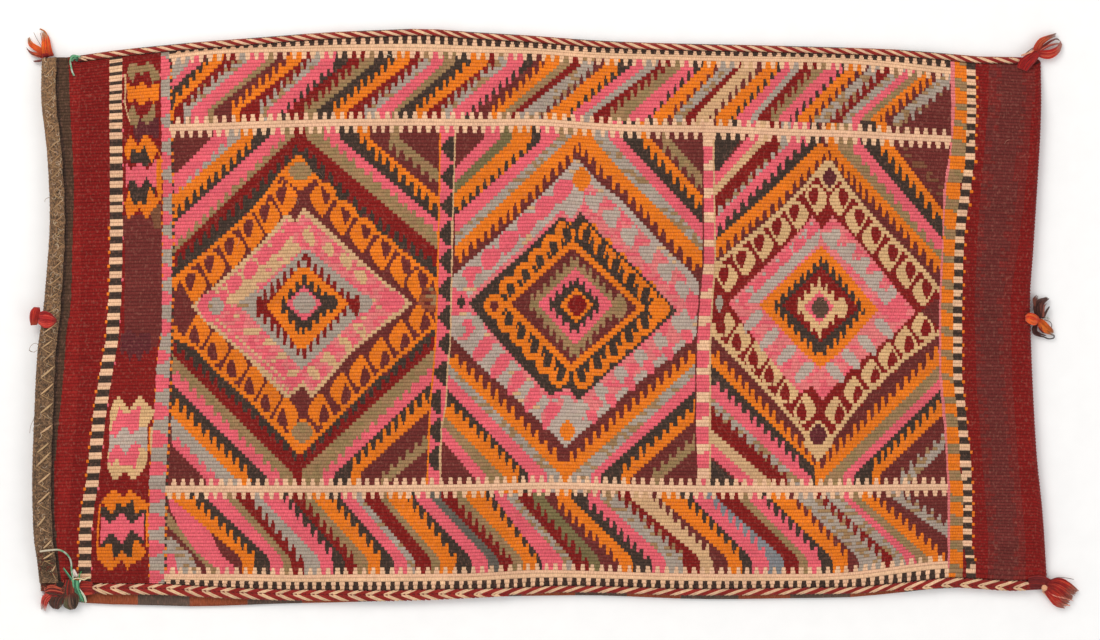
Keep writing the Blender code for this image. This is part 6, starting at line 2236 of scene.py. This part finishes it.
# bottom, middle: an orange knot with a dark tuft and an orange lock
t = Yarns("bottom_middle_yarn")
fan(t, [(1025.6, 316), (1029, 313.2), (1035, 315), (1040, 318.6)], [(1025.6, 320), (1029, 323), (1034, 324.6), (1038, 323)],
    [15.9, 18.2, 15.0, 9.0], 44, [(236, 104, 52), (226, 84, 40), T_ORANGE, (214, 66, 36)], 0.95, 2.2, (0.97, 1.0), 0, None, (190, 44, 30), 0.2)
fan(t, [(1038, 317.6), (1043.5, 319.8), (1049.6, 325.4), (1055.8, 332)], [(1036, 323), (1041, 328.6), (1046, 333.4), (1052, 334.6)],
    [9.2, 8.0, 5.8, 3.0], 74, [(222, 112, 34), (206, 92, 28), (232, 122, 44), T_ORED], 0.58, 2.8, (0.84, 1.0), 3, (190, 44, 30), (150, 100, 60))
fan(t, [(1037, 318), (1034, 310), (1034.8, 303), (1039.5, 299.2), (1047, 296.8)], [(1043.6, 318), (1043.8, 310), (1044.2, 305), (1046.6, 302), (1050.8, 298.8)],
    [10, 9.6, 8.0, 5.8, 3.4], 86, [(58, 32, 27), (84, 44, 36), (110, 60, 50), (70, 38, 32)], 0.56, 2.8, (0.78, 1.0), 4, (56, 26, 22), (104, 84, 78))
fan(t, [(1041, 317), (1041.6, 311), (1042, 306), (1043.4, 301.6)], [(1044, 317), (1044.4, 311), (1044.6, 306.6), (1047.6, 302.6)],
    [11, 10.6, 8.8, 5.4], 16, [(150, 84, 68), (136, 72, 62)], 0.48, 1.0, (0.8, 1.0))
fan(t, [(1035.6, 309), (1033.4, 302), (1034, 298), (1037.6, 294.4)], [(1036.8, 309), (1036.8, 303), (1037.8, 299), (1039.4, 296)],
    [10, 8.4, 6.4, 4.0], 18, [(126, 68, 54), (104, 60, 50)], 0.5, 1.4, (0.8, 1.0), 0, None, (110, 90, 84))
fan(t, [(1042.6, 318), (1045.3, 312), (1050, 305.6)], [(1044.6, 318), (1047.2, 312.8), (1050.8, 306.6)], [9, 7.4, 4.6], 9, [(104, 80, 72), (84, 62, 56)], 0.42, 0.8)
fan(t, [(1039, 322), (1037.6, 327), (1037.6, 331), (1041.6, 333.2), (1047, 334.8)], [(1036, 322.6), (1033, 328), (1033.6, 333.6), (1039, 336.4), (1046, 338.2)],
    [9.6, 8.6, 6.6, 5.0, 3.2], 58, [(70, 32, 32), (96, 42, 38), (58, 38, 32), (84, 56, 46)], 0.55, 2.0, (0.84, 1.0), 2, (52, 22, 20), (86, 72, 66))
fan(t, [(1038.6, 322.6), (1039.6, 328.6), (1043.4, 333)], [(1041, 323.6), (1044, 329.4), (1046.8, 334)], [9.6, 7.6, 4.8], 18, [(116, 28, 28), (92, 26, 26)], 0.52, 1.2)
hairs(t, [(1044, 336.6), (1049, 338.8), (1054, 338.2), (1055, 335.8), (1051.4, 334.2)], [4.6, 3.6, 3.2, 3.2, 3.6], 5, [(84, 76, 72), (66, 54, 50)], 0.52, 0.5)
hairs(t, [(1045, 319.8), (1050.4, 321.8), (1052.4, 325), (1051.8, 328)], [7, 5, 4.4, 4.4], 3, [(84, 70, 66)], 0.42, 0.3)
hairs(t, [(1042, 319), (1046.6, 317.4), (1049.6, 319.2)], [8, 5.6, 4.2], 3, [(196, 200, 184), (176, 176, 160)], 0.40, 0.6)
t.done(tuft_mat, "bottom_middle_tassel", "tassel_orange")

# bottom, lower corner: a red lock with a cream blob at its root
t = Yarns("bottom_lower_yarn")
fan(t, [(1029, 578), (1037, 576.6), (1044, 577.6), (1052, 581)], [(1029, 587.6), (1037, 587.8), (1043, 588.6), (1050, 592)],
    [6.4, 7.2, 7.4, 7.4], 54, [(138, 42, 38), (118, 36, 35), (106, 32, 32)], 1.05, 2.2, (0.97, 1.0), 0, None, (120, 26, 26), 0.1)
t.blob(at_px(1045.0, 588.2, 9.4), (3.7 * MM, 3.7 * MM, 2.8 * MM), tint((226, 168, 128)), 12, 8, 0.05)
hairs(t, [(1043, 591.5), (1046.6, 594.5), (1050, 598)], [8.6, 8.2, 7.4], 4, [(222, 168, 140)], 0.7, 0.6)
fan(t, [(1049.5, 581.5), (1056.5, 578.8), (1064, 579.8), (1072.4, 585.4), (1079.2, 592)], [(1043.5, 589.5), (1048, 597), (1053.6, 603.4), (1059.6, 606.8), (1066.2, 608.4)],
    [7.6, 8.6, 7.6, 5.8, 3.4], 190, [T_RED, (196, 54, 40), (150, 28, 28), (206, 78, 54), (168, 36, 32)], 0.62, 4.4, (0.84, 1.0), 7, (112, 24, 26), (168, 116, 96))
hairs(t, [(1050.5, 580), (1058, 577.5), (1066, 577.9), (1074.4, 579.4)], [7.4, 6.4, 4.8, 3.2], 3, [(150, 134, 128), (120, 104, 98)], 0.36, 0.3)
hairs(t, [(1048, 592), (1056, 596), (1064, 597.6), (1073, 600)], [10.6, 11.0, 8.4, 4.6], 4, [(236, 156, 132)], 0.5, 0.9)
hairs(t, [(1050, 597), (1057, 601), (1063, 604), (1070.5, 605.4)], [9.6, 9.0, 6.4, 3.8], 4, [(232, 160, 138)], 0.48, 0.7)
t.done(tuft_mat, "bottom_lower_tassel", "tassel_red")

# mouth, middle: a red tuft knotted over the hem
rim0 = float(mouth_rim(0.0)) / MM
zh = float(hem_top((rim0 + 10) * MM, 0.0)) / MM
t = Yarns("mouth_middle_yarn")
fan(t, [(57, 319.6), (51, 313.8), (44.5, 312.2), (38, 314)], [(57, 321), (52, 326), (45.5, 327.4), (38.6, 323.4)],
    [zh + 0.6, zh + 2.8, zh + 2.2, zh - 3.2], 58, [(190, 52, 46), (176, 40, 40), (208, 70, 56), (150, 32, 32)], 0.95, 1.7, (0.97, 1.0), 0, (120, 40, 36), None, 0.2)
t.blob(at_px(35.4, 316, zh - 5.2), (3.6 * MM, 7.4 * MM, 3.6 * MM), tint((158, 40, 34)))
fan(t, [(34.5, 307.4), (31.6, 311.5), (31, 318.5), (31.6, 325.4)], [(39.4, 307.6), (40, 312), (38.6, 318.5), (36.4, 325)],
    [zh - 5.0, zh - 2.6, zh - 2.8, zh - 6.0], 60, [(198, 62, 42), (182, 48, 38), (210, 84, 50), (160, 38, 34)], 0.85, 2.6, (0.95, 1.0), 0, None, (196, 80, 52), 0.3)
t.done(tuft_mat, "mouth_middle_tuft", "tassel_red")


# mouth, lower corner: the braid's frayed end
def margin(x, y):
    return (float(back_mid(x * MM, y * MM)) + HALF) / MM


zm = margin(-540, -300)
t = Yarns("braid_end_yarn")
DK = [(58, 44, 38), (84, 56, 46), (72, 66, 54), (108, 62, 50)]
GR = [(86, 64, 46), (106, 80, 56), (66, 50, 40), (98, 94, 68), (128, 96, 78)]
# the plait's last red yarns, which lead to the frayed ends
fan(t, [(92, 583), (84, 582), (76, 583), (68, 582)], [(92, 594), (84, 594.6), (76, 594), (68, 596)],
    [6.6, 7.6, 9.2, 10.4], 34, [(160, 48, 38), (140, 38, 34), (176, 60, 46)], 1.1, 1.9, (0.97, 1.0), 0, None, None, 0.1)
fan(t, [(66, 580), (63.6, 588), (63.6, 595), (66.5, 601)], [(74, 581), (75, 588), (74.5, 596), (71.5, 602)],
    [10.4, 11.8, 10.8, 7.0], 60, [(154, 42, 34), (130, 34, 30), (184, 88, 60), (100, 44, 36), (84, 62, 48)], 0.8, 2.2, (0.86, 1.0), 3, None, None, 0.3)
fan(t, [(44, 589), (50, 584), (58, 585.6), (67, 590)], [(45, 595), (52, 596.6), (58, 597), (67, 597)],
    [8.0, 11.6, 12.2, 10.6], 66, [(158, 42, 36), (134, 34, 32), (188, 84, 60), (112, 42, 36), (72, 54, 42)], 0.8, 2.2, (0.88, 1.0), 3, None, None, 0.3)
t.blob(at_px(60, 584.4, 12.4), (4.6 * MM, 3.4 * MM, 2.6 * MM), tint((44, 34, 28)))
fan(t, [(57, 592), (50.4, 596.6), (49, 603), (52.6, 608.6)], [(67, 595), (63.6, 600), (61.6, 605), (57.4, 609.6)],
    [10.6, 10.2, 7.6, 3.6], 52, DK, 1.0, 2.4, (0.92, 1.0), 3, (92, 40, 36), None, 0.15)
fan(t, [(66, 596), (63.8, 601), (64.8, 606.6), (69.6, 610)], [(76, 591), (78.6, 597), (78.2, 604), (74.6, 609)],
    [11.0, 10.2, 7.6, 3.6], 56, GR, 1.0, 2.4, (0.92, 1.0), 4, (110, 50, 40), None, 0.15)
fan(t, [(50, 591), (42.6, 596), (40.2, 603), (39.6, 609.4)], [(55, 597), (49, 600), (46.6, 605), (45, 611.6)],
    [10.0, 9.6, 6.8, 2.6], 44, [(190, 52, 46), (170, 44, 40), (206, 86, 70)], 0.8, 2.0, (0.86, 1.0), 2, None, (228, 210, 202), 0.3)
hairs(t, [(58, 599), (60, 603), (59.6, 606)], [10.6, 9.4, 6.6], 4, [(170, 140, 116), (120, 110, 90)], 0.8, 1.0)
hairs(t, [(72, 598), (75, 602), (74, 607)], [10.6, 9.4, 6.6], 5, [(170, 140, 116), (140, 110, 84)], 0.8, 1.2)
# short hairs that stand out of the frayed ends
for k in range(150):
    px, py = random.uniform(44, 76), random.uniform(583, 601)
    z = 9.2 + 3.4 * math.sin(math.pi * (px - 40) / 40) - 0.22 * max(0.0, py - 592)
    ang, line = random.uniform(0.0, 2 * math.pi), []
    for i in range(5):
        line.append(Vector(at_px(px, py, z + 0.7 * math.sin(math.pi * i / 4))))
        px += 1.1 * math.cos(ang)
        py += 1.1 * math.sin(ang)
        ang += random.uniform(-0.8, 0.8)
    t.strand(line, 0.30 * MM, tint(random.choice(((70, 52, 42), (96, 72, 54), (140, 44, 36), (186, 96, 70), (58, 44, 38), (120, 98, 74)))), 5)
t.done(tuft_mat, "braid_frayed_end", "tassel_red")

# the frayed ends and knots of the tie threads
GREENS = [(84, 150, 110), (112, 176, 132), (62, 112, 84)]
zf = float(front_top(-0.527, 0.285)) / MM
t = Yarns("upper_tie_frays")
fan(t, [(70, 60.5), (70.6, 56.4), (74, 54.8), (78.4, 56)], [(72.4, 61), (73.6, 58.6), (75.6, 58.2), (78, 59)],
    [zf + 1.6, zf + 3.4, zf + 3.6, zf + 1.6], 20, GREENS, 0.62, 1.6, (0.95, 1.0), 0, None, None, 0.2)
fan(t, [(75, 57), (77, 56.4), (78.6, 58)], [(75, 60), (76.6, 61), (78, 60.4)], [zf + 2.6, zf + 3.0, zf + 1.6], 8, [(54, 84, 66), (70, 110, 84)], 0.7, 1.0)
upper_frays = t.done(tie_mat_yarn, None, "tie_green")
t = Yarns("lower_tie_frays")
zb = float(front_top(-0.524, -0.284)) / MM
hairs(t, [(36.6, 552), (41, 550.6), (46, 549), (52, 548.2)], [13.6, 16.4, 16.9, 16.8], 3, [(226, 214, 200)], 0.5, 0.5)
hairs(t, [(38, 558), (41.6, 554.6), (46, 550.6)], [14.2, 15.8, 16.6], 2, [(196, 176, 160)], 0.36, 0.3)
fan(t, [(72.6, 569.4), (71.8, 573), (71.6, 577.4)], [(74, 569.4), (76, 573), (78.8, 577.6)], [zb + 1.6, zb + 2.4, zb + 2.4], 16, [(232, 216, 208), (214, 190, 178)], 0.55, 0.5, (0.9, 1.0))
hairs(t, [(63, 568), (67, 573.4), (71.6, 579.8), (75, 587)], [10.6, 10.6, 11.4, 11.8], 5, GREENS, 0.7, 0.7)
hairs(t, [(72, 580), (75, 578.6), (79, 578.3), (84, 579.6), (87, 578), (90.4, 577.2)], [11.8, 12.2, 12.2, 11.6, 10.4, 9.4], 3, [(218, 212, 172), (226, 196, 150)], 0.62, 0.4)
hairs(t, [(80.4, 580), (78, 584), (78.4, 588.4), (81.6, 592.6), (84, 597), (85, 602.4)], [12, 12.6, 12.6, 11.6, 9.6, 6.6], 5, [(224, 226, 200), (206, 214, 186)], 0.75, 0.8)
fan(t, [(72, 579.6), (73, 586.6), (75.6, 594), (77.6, 603)], [(79.6, 581), (79, 588), (82, 595), (84, 603)], [12, 12.4, 10.4, 5.8], 34, GREENS, 0.7, 1.6, (0.92, 1.0), 3)
hairs(t, [(79, 578), (79.2, 575), (80.8, 572)], [11.4, 11.0, 10.4], 3, [(58, 140, 80)], 0.75, 0.5)
lower_frays = t.done(tie_mat_yarn, None, "tie_green")

# small loose hairs along the hem
t = Yarns("hem_loose_hairs")
for pts in ([(41, 346), (36, 343), (31, 346), (30, 351), (35, 352)],
            [(40, 349), (34, 352), (29, 350)],
            [(39, 414), (34, 419), (31, 426), (30, 433)],
            [(40, 418), (35, 424), (33, 431)],
            [(49, 197), (46, 199), (45, 202)],
            [(43, 548), (38, 552), (36, 557)]):
    line = []
    for i, (a, b) in enumerate(pts):
        x, y = float(MX(a)), float(MY(b))
        z = float(hem_top(float(mouth_rim(y)) + RIM_IN, y)) - 1.5 * MM - 2.6 * MM * i / (len(pts) - 1)
        line.append((x, y, z))
    line[0] = (float(mouth_rim(line[0][1])) + 1.6 * MM, line[0][1], line[0][2] + 0.6 * MM)
    t.strand(curve_points(line, 12), 0.26 * MM, tint((150, 128, 106), 0.1), 5)
t.done(tuft_mat, None, "hem_thread")

# stray ends of yarn that stand out of the weave
t = Yarns("kilim_pile_ends")
for px, py, ang, length, rgb in ((391, 56, 2.2, 6, (238, 214, 190)), (396, 60, 0.8, 5, (238, 214, 190)), (298, 205, 1.2, 9, (180, 140, 120)),
                                 (322, 176, 2.0, 10, (150, 110, 96)), (236, 246, 0.4, 9, (214, 160, 130)), (120, 348, 0.9, 12, (160, 60, 50)),
                                 (700, 130, 0.3, 8, (200, 150, 120)), (828, 300, 2.4, 8, (180, 120, 100)), (640, 470, 1.9, 8, (140, 100, 84)),
                                 (1010, 140, 2.9, 7, (186, 130, 110)), (520, 96, 1.3, 7, (170, 120, 96)), (176, 330, 2.6, 9, (190, 120, 100))):
    x, y = float(MX(px)), float(MY(py))
    pts = []
    for i in range(5):
        u = i / 4
        dx, dy = math.cos(ang + 0.9 * u), math.sin(ang + 0.9 * u)
        xx, yv = x + dx * length * u * S, y + dy * length * u * S
        pts.append((xx, yv, float(front_top(xx, yv) + swell(xx, yv)) + (0.1 + 0.9 * math.sin(math.pi * u)) * MM))
    t.strand(curve_points(pts, 9), 0.20 * MM, tint(rgb, 0.05), 5)
t.done(tuft_mat, None, "kilim_wool")

# ============================================================== floor, light
floor_mesh = bpy.data.meshes.new("floor")
floor_mesh.from_pydata([(-6, -6, 0), (6, -6, 0), (6, 6, 0), (-6, 6, 0)], [], [(0, 1, 2, 3)])
floor = link_obj(bpy.data.objects.new("floor", floor_mesh))
nf = Nodes("floor_paper", rough=0.9)
grain = nf.noise(40.0, (1, 1, 1), 2.0, 0.5)
nf.link(nf.mix(nf.remap(grain, 0.3, 0.7, 0.0, 1.0), srgb(251, 250, 249), srgb(254, 253, 252)), nf.bsdf.inputs["Base Color"])
floor_mesh.materials.append(nf.mat)

world = bpy.data.worlds.new("studio")
scene.world = world
world.use_nodes = True
world.node_tree.nodes["Background"].inputs["Color"].default_value = (1.0, 1.0, 1.0, 1.0)
world.node_tree.nodes["Background"].inputs["Strength"].default_value = 0.72


def area_light(name, loc, target, size, energy, colour=(1.0, 1.0, 1.0)):
    data = bpy.data.lights.new(name, "AREA")
    data.shape = "DISK"
    data.size = size
    data.energy = energy
    data.color = colour
    obj = link_obj(bpy.data.objects.new(name, data))
    obj.location = loc
    obj.rotation_euler = (Vector(target) - Vector(loc)).to_track_quat("-Z", "Y").to_euler()
    obj.visible_camera = False
    return obj


area_light("key", (-1.5, 2.1, 2.5), (0, 0, 0), 2.2, 57.0, (1.0, 0.97, 0.93))
area_light("fill", (2.4, -1.6, 2.6), (0, 0, 0), 2.2, 16.0, (0.98, 0.99, 1.0))
scene.view_settings.view_transform = "Standard"
scene.view_settings.look = "None"
scene.view_settings.exposure = 0.0
scene.view_settings.gamma = 1.0

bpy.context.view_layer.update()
